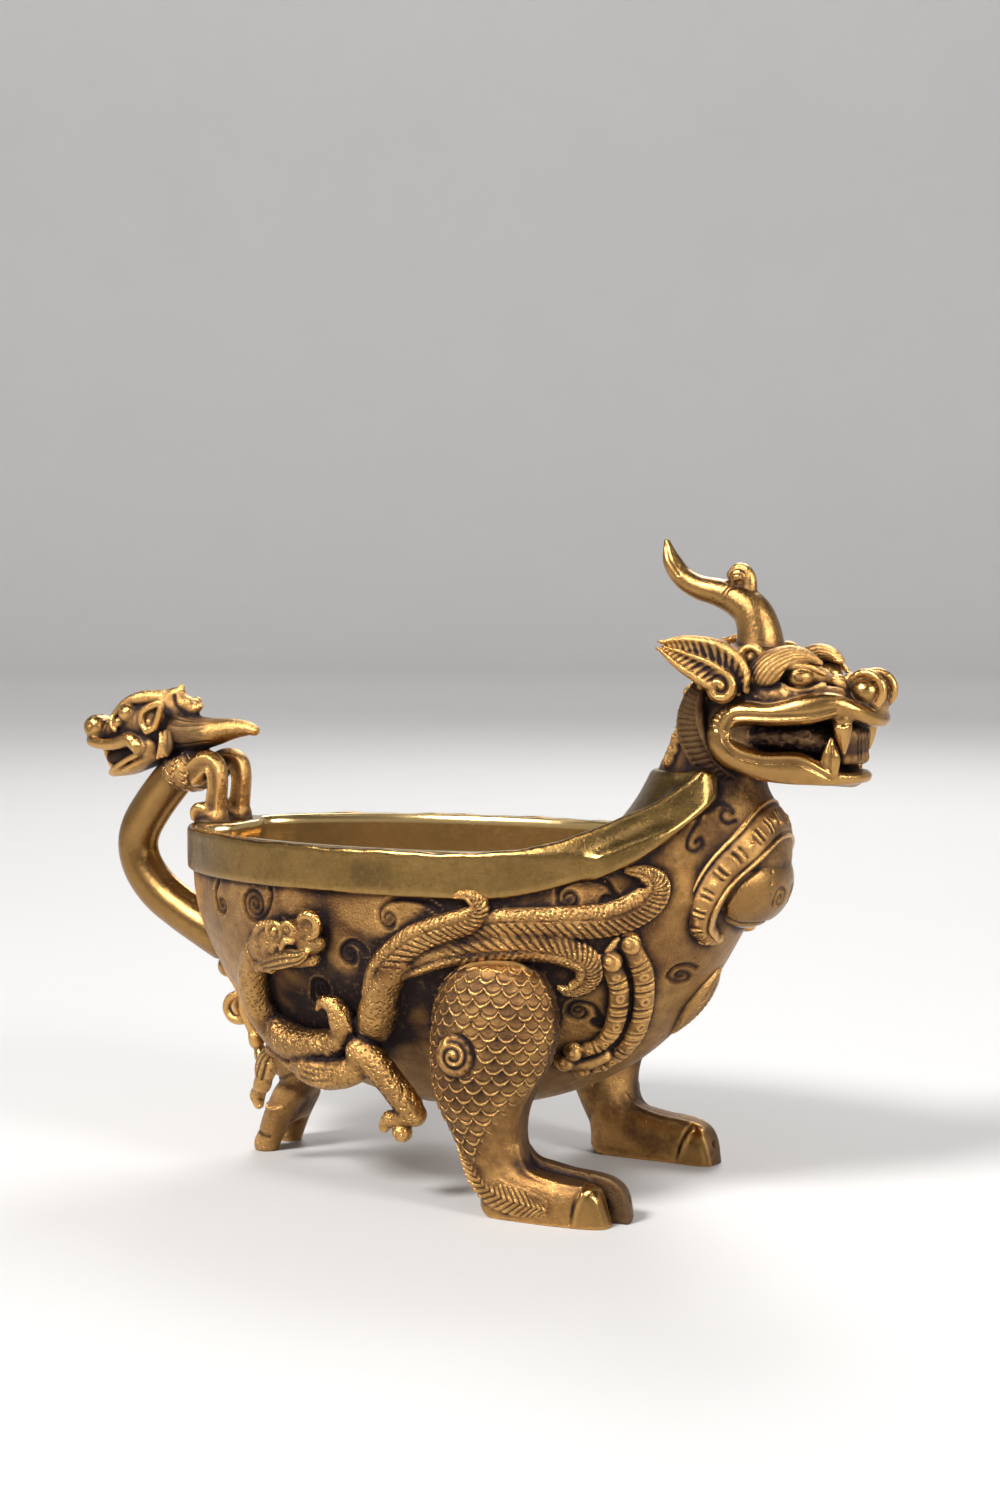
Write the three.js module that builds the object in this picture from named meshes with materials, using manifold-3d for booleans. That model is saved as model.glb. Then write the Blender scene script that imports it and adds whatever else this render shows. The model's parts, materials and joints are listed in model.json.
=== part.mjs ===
// Gilt bronze tripod censer: a boat-shaped cup cast as a horned beast that stands on two scaled
// front legs and one rear leg. A small dragon forms the handle, and another climbs each flank.
// Millimetres. +X is the beast's front, +Y its left flank, +Z up. The feet stand on z = 0.
import * as THREE from 'three';
import { mergeVertices } from 'three/addons/utils/BufferGeometryUtils.js';
import Module from 'manifold-3d';

const wasm = await Module();
wasm.setup();
const { Manifold, Mesh } = wasm;

// Fits
const clearance = 0.3; // solder gap left at every seat
const spigotDepth = 1.5; // how far a spigot enters the wall of the cup
const legSpigotRadius = 3;
const smallSpigotRadius = 1.2;

// Cup
const cupFoot = 13; // height of the lowest point of the belly
const cupShoulder = 57; // height where the wall turns upright
const rimHeight = 66;
const cupMiddle = 1.2; // widest section, along X
const cupFront = 61.5; // from the middle to the breast
const cupRear = 57; // from the middle to the rear wall
const cupHalfWidth = 33.4;
const cupWall = 2.4;
const cupFloor = 4.5;
const mouthFront = 35; // from the middle to the front end of the hollow
const ledgeLength = 8; // ledge inside the rear rim, under the handle's feet
const ledgeHalfWidth = 10;
const ledgeDepth = 4.5;

// Rim band
const bandHeight = 8.4;
const bandProud = 1.2; // how far the band stands out of the wall
const bandInlet = 0.6; // how far it is let into the wall
const bandClimb = 0.0095; // steepness of its rise towards the neck, per millimetre
const bandClimbStart = 17; // from the middle to where it starts to rise
const bandPinch = 0.0185; // how much narrower it gets per millimetre above the rim, to lie on the neck
const bandOpening = 24; // half angle left open at the breast, degrees

// Neck and head
const neckPlugDepth = 10;
const neckPlugHalfLength = 8.5;
const neckPlugHalfWidth = 14;
const neckRise = 30;
const neckHalfLength = 8;
const neckHalfWidth = 8.6;
const neckLean = 8.8; // how far the neck's top lies in front of its foot
const neckFootReach = 48.3; // from the cup's middle to the middle of the neck's foot
const headDrop = 2; // how far the top of the neck enters the head
const headAhead = 1.7; // how far the head's middle lies in front of the neck's top
const headHalfWidth = 11.5;
const muzzleLength = 25.5;
const mouthGap = 5.5;
const hornHeight = 18;
const hornSweep = 18;
const hornRadius = 4;
const earLength = 15;
const ruffHalfWidth = 1.9;

// Breast
const swellReach = 54.8; // from the cup's middle to the middle of the breast's swell
const swellDrop = 2; // from the rim down to that middle
const swellRadii = [12.3, 13, 14.6];
const bossDrop = 7.5; // from the rim down to the middle of the boss
const bossRadius = 8;
const bossDepth = 7.4;
const bossProud = 1.4; // how far the boss stands out of the swell
const ringRadius = 12.9;
const ringHalfWidth = 3.4;
const leafDrop = 21.5; // from the middle of the boss down to the middle of the leaf
const leafLength = 7;

// Legs
const footSpread = 25.5; // from the midplane to the middle of a front foot
const thighSpread = 28.6;
const thighReach = 21.6; // from the cup's middle to the middle of the thigh
const thighTop = 46.5;
const thighHalfLength = 11.8;
const thighHalfWidth = 8.6;
const footLength = 26;
const footHeight = 10.6;
const footHalfWidth = 5.9;
const toeCleft = 0.9;
const rearLegReach = 33; // from the cup's middle back to the top of the rear leg
const rearFootReach = 40;
const rearFootHalfWidth = 6.6;

// Handle
const stemRadius = 4.3;
const stemBow = 18; // how far the stem stands out behind the rear wall
const stemRootHeight = 43.5;
const handleRise = 19; // height of the handle head's brow above the rim
const forelegSpread = 4.1;
const forelegRadius = 1.9;

// Flank dragons and straps
const flankFoot = 30; // below this height a dragon hangs clear of the belly
const drawnRear = 57; // reaches and rim height of the cup that the flank figures are drawn for
const drawnFront = 61.5;
const drawnHeight = 66;
const plumeHalfWidth = 2.3;
const plumeHeight = 1.6;
const dragonRadius = 2.7;
const strapHalfWidth = 1.7;
const strapHeight = 1.4;

const at = (x, y, z) => new THREE.Vector3(x, y, z);
const { clamp, lerp, degToRad } = THREE.MathUtils;
const share = (low, high, value) => clamp((value - low) / (high - low), 0, 1);
const sideways = () => at(0, 1, 0);

// Closed body from points and triangles, turned right side out.
function body(points, faces) {
  let volume = 0;
  const corner = (i) => points[faces[i]];
  for (let i = 0; i < faces.length; i += 3) {
    volume += corner(i).dot(corner(i + 1).clone().cross(corner(i + 2)));
  }
  if (volume < 0) faces.reverse();
  const vertProperties = new Float32Array(points.flatMap((p) => p.toArray()));
  return new Manifold(new Mesh({ numProp: 3, vertProperties, triVerts: new Uint32Array(faces) }));
}

// Body through a stack of rings with equal counts of points, closed by a fan at each end.
function loft(rings) {
  const count = rings[0].length;
  const points = rings.flat();
  const faces = [];
  for (let r = 0; r + 1 < rings.length; r++) {
    for (let i = 0; i < count; i++) {
      const a = r * count + i;
      const b = r * count + (i + 1) % count;
      faces.push(a, b, b + count, a, b + count, a + count);
    }
  }
  for (const first of [0, points.length - count]) {
    const hub = points.length;
    const middle = at(0, 0, 0);
    for (let i = 0; i < count; i++) middle.addScaledVector(points[first + i], 1 / count);
    points.push(middle);
    for (let i = 0; i < count; i++) {
      const pair = [first + i, first + (i + 1) % count];
      faces.push(hub, ...(first === 0 ? pair.reverse() : pair));
    }
  }
  return body(points, faces);
}

const turn = (count) => Array.from({ length: count }, (_, i) => (2 * Math.PI * i) / count);
const power = (value, exponent) => Math.sign(value) * Math.abs(value) ** exponent;

// Bar with rounded ends along a smooth route. sizes holds one half width, or a pair of half width and
// half height, per point of the route; out tells which way the height points.
function sweep(route, sizes, out = sideways, grow = 0, steps = 6, sides = 6) {
  const curve = new THREE.CatmullRomCurve3(route);
  const pairs = sizes.map((size) => (Array.isArray(size) ? size : [size, size]));
  const ring = (u, slide, swell) => {
    const place = u * (pairs.length - 1);
    const k = Math.min(Math.floor(place), pairs.length - 2);
    const [width, height] = [0, 1].map((j) => lerp(pairs[k][j], pairs[k + 1][j], place - k) + grow);
    const centre = curve.getPoint(u);
    const along = curve.getTangent(u);
    const up = out(centre).addScaledVector(along, -out(centre).dot(along)).normalize();
    const across = along.clone().cross(up);
    centre.addScaledVector(along, slide * Math.min(width, height));
    return turn(sides).map((angle) => centre.clone()
      .addScaledVector(across, width * swell * Math.cos(angle))
      .addScaledVector(up, height * swell * Math.sin(angle)));
  };
  const [slide, swell] = [0.79, 0.62];
  const rings = Array.from({ length: steps + 1 }, (_, i) => ring(i / steps, 0, 1));
  return loft([ring(0, -slide, swell), ...rings, ring(1, slide, swell)]);
}

function ball(centre, radii, grow = 0, sides = 8) {
  const [x, y, z] = Array.isArray(radii) ? radii : [radii, radii, radii];
  const geometry = new THREE.SphereGeometry(1, sides, Math.round(sides * 0.7));
  geometry.deleteAttribute('normal').deleteAttribute('uv');
  const merged = mergeVertices(geometry.scale(x + grow, y + grow, z + grow), 1e-4);
  const { position } = merged.attributes;
  const points = Array.from({ length: position.count }, (_, i) => {
    return at(0, 0, 0).fromBufferAttribute(position, i).add(centre);
  });
  return body(points, Array.from(merged.index.array));
}

function rod(from, to, radius, endRadius = radius, sides = 8) {
  const along = to.clone().sub(from).normalize();
  const helper = Math.abs(along.z) > 0.9 ? at(1, 0, 0) : at(0, 0, 1);
  const across = along.clone().cross(helper).normalize();
  const up = along.clone().cross(across);
  const ring = (centre, r) => turn(sides).map((angle) => centre.clone()
    .addScaledVector(across, r * Math.cos(angle)).addScaledVector(up, r * Math.sin(angle)));
  return loft([ring(from, radius), ring(to, endRadius)]);
}

const block = (low, high) => loft([low.z, high.z].map((z) => [
  at(low.x, low.y, z), at(high.x, low.y, z), at(high.x, high.y, z), at(low.x, high.y, z)]));
const fuse = (...solids) => solids.reduce((whole, solid) => whole.add(solid));
const cut = (solid, ...tools) => tools.reduce((rest, tool) => rest.subtract(tool), solid);
const largest = (solid) => solid.decompose().reduce((a, b) => (b.volume() > a.volume() ? b : a));
const mirrored = (solid) => solid.mirror([0, 1, 0]);
const bothSides = (solid) => fuse(solid, mirrored(solid));
const onGround = (solid) => solid.trimByPlane([0, 0, 1], 0);

// Outside of the cup: half lengths and half width of its section at a height.
function cupReach(height, grow = 0) {
  const t = share(cupFoot - grow, cupShoulder, height);
  const round = Math.sqrt(1 - (1 - t) ** 1.85);
  const breast = 0.62 * Math.sqrt(1 - (1 - t) ** 4) + 0.38 * t;
  const [front, rear, side] = [cupFront, cupRear, cupHalfWidth].map((reach) => reach + grow);
  return { front: front * breast, rear: rear * round, side: side * round };
}

function cupPoint(angle, height, grow = 0) {
  const { front, rear, side } = cupReach(height, grow);
  const [c, s] = [Math.cos(angle), Math.sin(angle)];
  return at(cupMiddle + (c > 0 ? front : rear) * c, side * s, height);
}

// Point on the right flank of the cup (the -Y side) at a place seen from the side, lifted off the wall.
function onFlank(x, height, lift = 0) {
  const { front, rear, side } = cupReach(Math.max(height, cupFoot + 1));
  const reach = clamp((x - cupMiddle) / (x > cupMiddle ? front : rear), -0.97, 0.97);
  return at(x, -side * Math.sqrt(1 - reach * reach) - lift, height);
}

// Point of a figure on that flank, and of a dragon, which drops straight below flankFoot.
const onDrawing = (x, height, lift = 0) => {
  const stretch = x > 0 ? cupFront / drawnFront : cupRear / drawnRear;
  return onFlank(x * stretch, height * (rimHeight / drawnHeight), lift);
};
const onDragon = (x, height, lift = 2.5) => {
  return onDrawing(x, Math.max(height, flankFoot), lift).setZ(height * (rimHeight / drawnHeight));
};

// Outward direction of the cup's wall, seen from above.
function outward(point) {
  const { front, rear, side } = cupReach(Math.max(point.z, flankFoot));
  const reach = point.x > cupMiddle ? front : rear;
  return at((point.x - cupMiddle) / reach ** 2, point.y / side ** 2, 0).normalize();
}

// The cup's outer form as a solid block up to a height.
function cupBlock(top, grow = 0, sides = 36, levels = 8) {
  const foot = cupFoot - grow;
  const heights = Array.from({ length: levels + 1 }, (_, i) => {
    return foot + (cupShoulder - foot) * Math.max(0.004, (i / levels) ** 2);
  });
  if (top > cupShoulder) heights.push(top);
  return loft(heights.map((height) => turn(sides).map((angle) => cupPoint(angle, height, grow))));
}

// The hollow: rounded at the rear, blunter in front where the neck rises.
function hollow(sides = 36, levels = 8) {
  const floor = cupFoot + cupFloor;
  const ring = (t, height) => {
    const round = Math.sqrt(1 - (1 - t) ** 1.85);
    return turn(sides).map((angle) => {
      const [c, s] = [Math.cos(angle), Math.sin(angle)];
      const blunt = c > 0 ? 0.77 : 1;
      const reach = c > 0 ? mouthFront : cupRear - cupWall;
      const half = cupHalfWidth - cupWall;
      return at(cupMiddle + reach * round * power(c, blunt), half * round * power(s, blunt), height);
    });
  };
  const rings = Array.from({ length: levels + 1 }, (_, i) => {
    const t = Math.max(0.004, (i / levels) ** 2);
    return ring(t, floor + (cupShoulder - floor) * t);
  });
  return loft([...rings, ring(1, rimHeight + 1)]);
}

// Rim band: a strip round the cup that climbs the sides of the neck as two tongues.
function rimBand(grow = 0, steps = 36) {
  const opening = degToRad(bandOpening) - grow / cupFront;
  const rings = Array.from({ length: steps + 1 }, (_, i) => {
    const angle = lerp(opening, 2 * Math.PI - opening, i / steps);
    const rise = bandClimb * Math.max(0, cupPoint(angle, rimHeight).x - cupMiddle - bandClimbStart) ** 2;
    const low = rimHeight - bandHeight + rise - grow;
    const high = rimHeight + rise + grow;
    const edge = (lift, height) => {
      const pinch = 1 - bandPinch * Math.max(0, height - rimHeight);
      return cupPoint(angle, rimHeight, lift).multiply(at(1, pinch, 1)).setZ(height);
    };
    const [inner, outer] = [-bandInlet - grow, bandProud + grow];
    return [edge(inner, low), edge(outer, low + 0.4), edge(outer, high - 0.8), edge(outer - 0.5, high),
      edge(inner, high)];
  });
  return loft(rings);
}

// Neck: horizontal oval sections that narrow from the rim up to the head. Its foot spreads to the
// outline of the cup, and a plug below stands in a socket of the breast.
const neckFoot = at(cupMiddle + neckFootReach, 0, rimHeight);
function neckSection(rise) {
  const t = clamp(rise / neckRise, 0, 1);
  return {
    centre: neckFoot.x + neckLean * t,
    halfLength: neckHalfLength + 3.2 * (1 - t) + 1.8 * (1 - t) ** 4,
    halfWidth: neckHalfWidth + 2.6 * (1 - t) + 8 * (1 - t) ** 3,
  };
}
const oval = (centre, halfLength, halfWidth, height, sides = 16) => turn(sides).map((angle) => {
  return at(centre.x + halfLength * Math.cos(angle), centre.y + halfWidth * Math.sin(angle), height);
});
function neckColumn(grow = 0, levels = 8) {
  return loft(Array.from({ length: levels + 1 }, (_, i) => {
    const rise = lerp(clearance - grow, neckRise + grow, i / levels);
    const { centre, halfLength, halfWidth } = neckSection(rise);
    return oval(at(centre, 0, 0), halfLength + grow, halfWidth + grow, rimHeight + rise);
  }));
}
function neckFlare(levels = 5) {
  const flare = loft(Array.from({ length: levels + 1 }, (_, i) => {
    const rise = lerp(clearance, neckRise * 0.42, i / levels);
    const { centre, halfLength, halfWidth } = neckSection(rise);
    const spread = (1 - i / levels) ** 2.2;
    return oval(at(centre, 0, 0), halfLength + 2 * spread, halfWidth + 9 * spread - 0.2, rimHeight + rise);
  }));
  return flare.intersect(cupBlock(rimHeight + neckRise));
}
function neckPlug(grow = 0) {
  const ring = (height) => oval(neckFoot, neckPlugHalfLength + grow, neckPlugHalfWidth + grow, height);
  return loft([ring(rimHeight - neckPlugDepth - grow), ring(rimHeight + 1)]);
}

// Swell of the breast: it hangs from the neck in front of the cup's wall.
const swellPlace = at(cupMiddle + swellReach, 0, rimHeight - swellDrop);
const swell = (grow = 0) => ball(swellPlace, swellRadii, grow, 18);
const hangingSwell = () => cut(swell(), cupBlock(rimHeight + clearance, clearance));

// Front of the breast at a place seen from ahead: the swell, the cup's wall, or the neck above the rim.
function onBreast(y, height) {
  const { front, side } = cupReach(height);
  const { centre, halfLength, halfWidth } = neckSection(height - rimHeight);
  const curve = (middle, reach, half) => middle + reach * Math.sqrt(1 - Math.min(0.96, (y / half) ** 2));
  const wall = curve(cupMiddle, front, side);
  const plain = height > rimHeight ? Math.min(wall, curve(centre, halfLength, halfWidth)) : wall;
  const [depth, half, tall] = swellRadii;
  const bulge = 1 - (y / half) ** 2 - ((height - swellPlace.z) / tall) ** 2;
  return bulge > 0 ? Math.max(plain, swellPlace.x + depth * Math.sqrt(bulge)) : plain;
}

// Head. Offsets are from the top of the neck; a local length of 25.5 is the muzzle.
const headPlace = at(neckSection(neckRise).centre + headAhead, 0, rimHeight + neckRise - headDrop);
const onHead = (x, y, z) => at(x * (muzzleLength / 25.5), y * (headHalfWidth / 11.5), z).add(headPlace);
const muzzleRing = ([x, halfWidth, low, high], grow) => turn(10).map((angle) => onHead(x,
  (halfWidth + grow) * power(Math.cos(angle), 0.8),
  (low + high) / 2 + ((high - low) / 2 + grow) * power(Math.sin(angle), 0.8)));

function skull(grow = 0) {
  const muzzle = [[-5 - grow, 9.6, -3, 4], [1, 11.5, -3.4, 4], [10, 11, -3.6, 2], [18, 9.4, -3.4, 1.6],
    [22.5, 6.4, -4.4, 0.6], [24.6 + grow, 3.6, -5, -0.6]];
  const browRoute = [[4, -9, 7.2], [4.6, -11, 3.6], [8.4, -10.6, 4.4], [11.6, -8.8, 6.4], [14.6, -7, 5.6]];
  const lipRoute = [[0.4, -11, -3], [6, -11.4, -1.9], [13, -10.8, -2], [19, -8.8, -1.4], [22.6, -6, -2.8]];
  const place = (route) => route.map((p) => onHead(...p));
  const side = fuse(
    sweep(place(browRoute), [1.6, 2.6, 3.6, 2.8, 1.4], sideways, grow),
    sweep(place(lipRoute), [1.6, 2, 2, 2.1, 1.6], sideways, grow),
    ball(onHead(12.9, -8.6, 3.2), 2.8, grow),
    ball(onHead(22.9, -2.4, 0.8), 2.8, grow, 7),
    ball(onHead(2.4, -9.2, -6), [4.2, 3.4, 6.4], grow, 7),
  );
  const cranium = ball(onHead(3, 0, 3.4), [12, 11.2, 8], grow, 10);
  const nose = ball(onHead(22.2, 0, -2), [3.4, 5, 3.8], grow, 7);
  return fuse(loft(muzzle.map((section) => muzzleRing(section, grow))), cranium, nose, bothSides(side));
}

function lowerJaw(grow = 0) {
  const low = -3.6 - mouthGap;
  const jaw = [[-3 - grow, 10.6, low - 2, low + 5], [1, 11.8, low - 4.2, low + 4.4],
    [9, 10.6, low - 5.4, low - 0.4], [16, 8.6, low - 6.8, low - 2.8], [20.4, 5.6, low - 7, low - 4],
    [22.4 + grow, 3, low - 6.2, low - 4.4]];
  const lip = [[2, -11, low + 1], [9, -10.4, low - 0.4], [15, -8.8, low - 2.2], [19, -6.4, low - 4.4],
    [22, -2.6, low - 4.8]];
  const tusk = rod(onHead(17.8, -6.6, low - 4), onHead(17.8, -6.2, low + 1.4), 1.6 + grow, 0.5 + grow, 6);
  const side = fuse(tusk, sweep(lip.map((p) => onHead(...p)), [1.2, 1.3, 1.3, 1.3, 1.1], sideways, grow));
  return fuse(loft(jaw.map((section) => muzzleRing(section, grow))), bothSides(side));
}

const hornPlace = onHead(2.4, 0, 8.6);
function horn(grow = 0) {
  const point = (x, z) => at(hornPlace.x - hornSweep * x, 0, hornPlace.z + hornHeight * z);
  const route = [point(0, 0), point(0.02, 0.24), point(0.18, 0.45), point(0.44, 0.54), point(0.68, 0.58),
    point(0.87, 0.7), point(0.97, 0.87), point(1, 1.06)];
  const sizes = [1, 0.92, 0.74, 0.6, 0.54, 0.5, 0.4, 0.16].map((k) => k * hornRadius);
  const knob = ball(point(0.21, 0.69), hornRadius * 0.52, grow, 6);
  return fuse(sweep(route, sizes, sideways, grow, 12, 8), knob);
}

const earRoot = onHead(2.4, -10.6, 2.6);
function ear(grow = 0) {
  const along = (k, y, z) => at(earRoot.x + 1 - earLength * k, earRoot.y - y, earRoot.z + z);
  const route = [along(0, 0.6, -1), along(0.06, 3, 2.8), along(0.42, 4.6, 4.6), along(0.95, 6.2, 6.2)];
  const leaf = sweep(route, [[2.2, 1.2], [4, 1.3], [3, 1.1], [0.7, 0.6]], sideways, grow, 6, 8);
  return fuse(leaf, ball(along(0.14, 3, -0.8), [2.4, 1.7, 2.4], grow, 6));
}

// Ruff: a ribbed crescent round the throat, from behind one ear to the other.
function ruff(grow = 0) {
  const half = [[-5.6, -12.8, -1], [-5.6, -13.4, -6], [-3.4, -13.6, -11], [1, -11.4, -14.4], [4.6, -6, -16],
    [5.8, 0, -16.4]];
  const route = [...half, ...half.slice(0, -1).reverse().map(([x, y, z]) => [x, -y, z])];
  const radial = (p) => at((p.x - headPlace.x) / 2, p.y, 0).normalize();
  const sizes = route.map((_, i) => [ruffHalfWidth * (i % 10 === 0 ? 0.5 : 1), 1.4]);
  return sweep(route.map((p) => onHead(...p)), sizes, radial, grow, 18);
}

// Breast ornaments
const bossHeight = rimHeight - bossDrop;
const leafHeight = bossHeight - leafDrop;
const bossPlace = at(onBreast(0, bossHeight) + bossProud - bossDepth, 0, bossHeight);
const boss = (grow = 0) => ball(bossPlace, [bossDepth, bossRadius, bossRadius], grow, 14);
function breastRing(grow = 0) {
  const route = Array.from({ length: 13 }, (_, i) => {
    const angle = degToRad(lerp(-132, 132, i / 12));
    const [y, z] = [ringRadius * Math.sin(angle), bossHeight + ringRadius * Math.cos(angle)];
    return at(onBreast(y, z) + 0.4, y, z);
  });
  const forward = (p) => at(1, p.y / 22, 0.1);
  return sweep(route, route.map(() => [ringHalfWidth, 2]), forward, grow, 14);
}
function breastLeaf(grow = 0) {
  const place = (k) => at(onBreast(0, leafHeight + k * leafLength), 0, leafHeight + k * leafLength);
  return sweep([place(-1), place(-0.3), place(0.3), place(0.8)], [[1.2, 1.4], [4, 2.2], [4.6, 2.2], [2, 1.4]],
    () => at(1, 0, -0.6), grow);
}

// Legs
const thighX = cupMiddle + thighReach;
function frontLeg(grow = 0) {
  const heelX = thighX - 2.4;
  const section = ([k, shift, size, out]) => oval(
    at(thighX + shift, -lerp(footSpread, thighSpread, out), 0),
    thighHalfLength * size + grow, thighHalfWidth * (0.3 + 0.7 * size) + grow, thighTop * k);
  const shank = [[0.1, 2.4, 0.5, 0], [0.22, -0.4, 0.53, 0.2], [0.32, -1.9, 0.6, 0.45],
    [0.43, -2.5, 0.74, 0.7], [0.56, -1.5, 0.9, 0.9], [0.71, -0.1, 1, 1], [0.86, 0.2, 0.92, 1],
    [0.95, 0.6, 0.7, 1], [1 + grow / thighTop, 1, 0.3, 1]];
  const foot = [[-0.02, 0.55, 0.5], [0.12, 0.92, 0.95], [0.36, 0.98, 1.02], [0.6, 0.98, 0.96],
    [0.82, 1, 0.9], [0.94, 0.95, 0.7], [1, 0.78, 0.42]];
  const footRing = ([k, width, height]) => turn(12).map((angle) => {
    const top = footHeight * height + grow;
    return at(heelX + footLength * k,
      -footSpread + (footHalfWidth * width + grow) * power(Math.cos(angle), 0.7),
      (top - 1) / 2 + ((top + 1) / 2) * power(Math.sin(angle), 0.75));
  });
  const toeX = heelX + footLength;
  const cleft = block(at(toeX - 6, -footSpread - toeCleft / 2, -2),
    at(toeX + 2, -footSpread + toeCleft / 2, footHeight + 1));
  const curl = ball(at(thighX - 4, -thighSpread - thighHalfWidth + 0.6, thighTop * 0.66), [4, 2, 4], grow);
  const leg = fuse(loft(shank.map(section)), loft(foot.map(footRing)), curl);
  return onGround(grow > 0 ? leg : cut(leg, cleft));
}
const legSpigot = (grow = 0) => {
  const seat = onFlank(thighX + 2, thighTop * 0.78);
  const tip = seat.clone().setY(seat.y + spigotDepth + grow);
  return rod(seat.clone().setY(seat.y - 4), tip, legSpigotRadius + grow);
};

const rearTop = at(cupMiddle - rearLegReach, 0, 0);
function rearLeg(grow = 0) {
  const footX = cupMiddle - rearFootReach;
  const section = ([height, lean, halfLength, width]) => oval(at(lerp(footX, rearTop.x, lean), 0, 0),
    halfLength + grow, rearFootHalfWidth * width + grow, height);
  const leg = loft([[-1, 0, 4.2, 1], [2.4, 0, 4, 1], [4.6, 0.06, 3.7, 0.82], [9, 0.35, 4, 0.84],
    [14, 0.75, 5, 1], [20, 1, 6.2, 1.2], [cupFoot + 13, 1.1, 6.6, 1.25]].map(section));
  const cleft = block(at(footX - 6, -toeCleft / 2, -2), at(footX - 1.5, toeCleft / 2, 4));
  return onGround(grow > 0 ? leg : cut(leg, cleft));
}
// Height of the belly's underside on the midplane, behind the middle.
function bellyHeight(x) {
  const reach = clamp((cupMiddle - x) / cupRear, 0, 0.99);
  return lerp(cupFoot, cupShoulder, 1 - (1 - reach * reach) ** (1 / 1.85));
}
const rearSpigot = (grow = 0) => {
  const seat = bellyHeight(rearTop.x);
  const tip = rearTop.clone().setZ(seat + spigotDepth + grow);
  return rod(rearTop.clone().setZ(seat - 5), tip, legSpigotRadius + grow);
};

// Handle: a bowed stem, its dragon's head and breast, and two forelegs that stand on the rim.
const rearX = cupMiddle - cupRear;
const stemRoot = at(cupMiddle - cupReach(stemRootHeight).rear, 0, stemRootHeight);
const stemTop = at(rearX - 9.8, 0, rimHeight + 7.5);
function handleStem(grow = 0) {
  const bow = (k, z) => at(rearX - stemBow * k, 0, lerp(stemRootHeight, stemTop.z, z));
  const route = [at(stemRoot.x + 2, 0, stemRootHeight - 1), bow(0.36, 0.1), bow(0.72, 0.21),
    bow(0.95, 0.37), bow(1, 0.52), bow(0.94, 0.66), bow(0.76, 0.83), stemTop];
  return sweep(route, route.map(() => [stemRadius, stemRadius * 0.92]), sideways, grow, 16, 10);
}
const stemSpigot = (grow = 0) => rod(stemRoot.clone().setX(stemRoot.x - 4),
  stemRoot.clone().setX(stemRoot.x + spigotDepth + grow), smallSpigotRadius * 1.6 + grow);

const browPlace = at(rearX - 12.5, 0, rimHeight + handleRise);
const onHandle = (x, y, z) => at(x, y, z).add(browPlace);
function handleHead(grow = 0) {
  const place = (...route) => route.map((p) => onHandle(...p));
  const upright = () => at(0, 0, 1);
  const side = fuse(
    ball(onHandle(-7.4, -3, 2.8), [2.2, 1.8, 1.9], grow, 6),
    ball(onHandle(-1.6, -4.6, 0.6), [1.7, 1.4, 2.8], grow, 6),
  );
  const mane = place([23.4, 0, -0.6], [17, 0, 0], [10, 0, -0.2], [3.4, 0, 0], [-3, 0, 0.4], [-9, 0, -1.2],
    [-14.8, 0, -1.2]);
  const maneSizes = [0.9, 2.3, 3.6, [5, 5.2], [5, 5.2], [3.3, 3], [3, 2.8]];
  const jaw = place([-1, 0, -4.6], [-7.4, 0, -7.4], [-12.4, 0, -10]);
  const breast = place([5, 0, -8.4], [9, 0, -7.4], [14.4, 0, -4.6]);
  return fuse(
    sweep(mane, maneSizes, upright, grow, 12, 8),
    sweep(jaw, [[4, 2.2], [3, 1.5], [1.8, 1]], upright, grow, 4),
    sweep(place([1, 0, 3], [4, 0, 6.6], [6.2, 0, 8.6]), [2.6, 2, 0.9], sideways, grow, 4),
    sweep(place([4, 0, 2], [9, 0, 4.2]), [2.4, 0.8], sideways, grow, 2),
    sweep(breast, [[5.2, 4.6], [5.4, 4.4], [5.4, 3.4]], upright, grow, 4, 8),
    bothSides(side),
  );
}
const ledgeTop = rimHeight;
function foreleg(grow = 0) {
  const route = [onHandle(14.4, -forelegSpread, -4), onHandle(18.4, -forelegSpread - 0.6, -8.6),
    at(browPlace.x + 18.2, -forelegSpread, ledgeTop + 5),
    at(browPlace.x + 16.6, -forelegSpread, ledgeTop + 1.2)];
  const leg = fuse(sweep(route, [2.6, forelegRadius, forelegRadius * 0.9, 2], sideways, grow),
    ball(at(browPlace.x + 13.8, -forelegSpread, ledgeTop + 1.4), [3.4, 2, 1.9], grow));
  return leg.trimByPlane([0, 0, 1], ledgeTop + clearance);
}
// Ledge on which the forelegs stand, inside the rear of the rim.
function ledge() {
  const inner = rearX + cupWall + ledgeLength;
  const ring = (height, x) => [at(rearX - 2, -ledgeHalfWidth, height), at(x, -ledgeHalfWidth * 0.7, height),
    at(x, ledgeHalfWidth * 0.7, height), at(rearX - 2, ledgeHalfWidth, height)];
  return loft([ring(ledgeTop - ledgeDepth, inner - ledgeLength + 1), ring(ledgeTop - 1.2, inner),
    ring(ledgeTop, inner)]);
}

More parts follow.
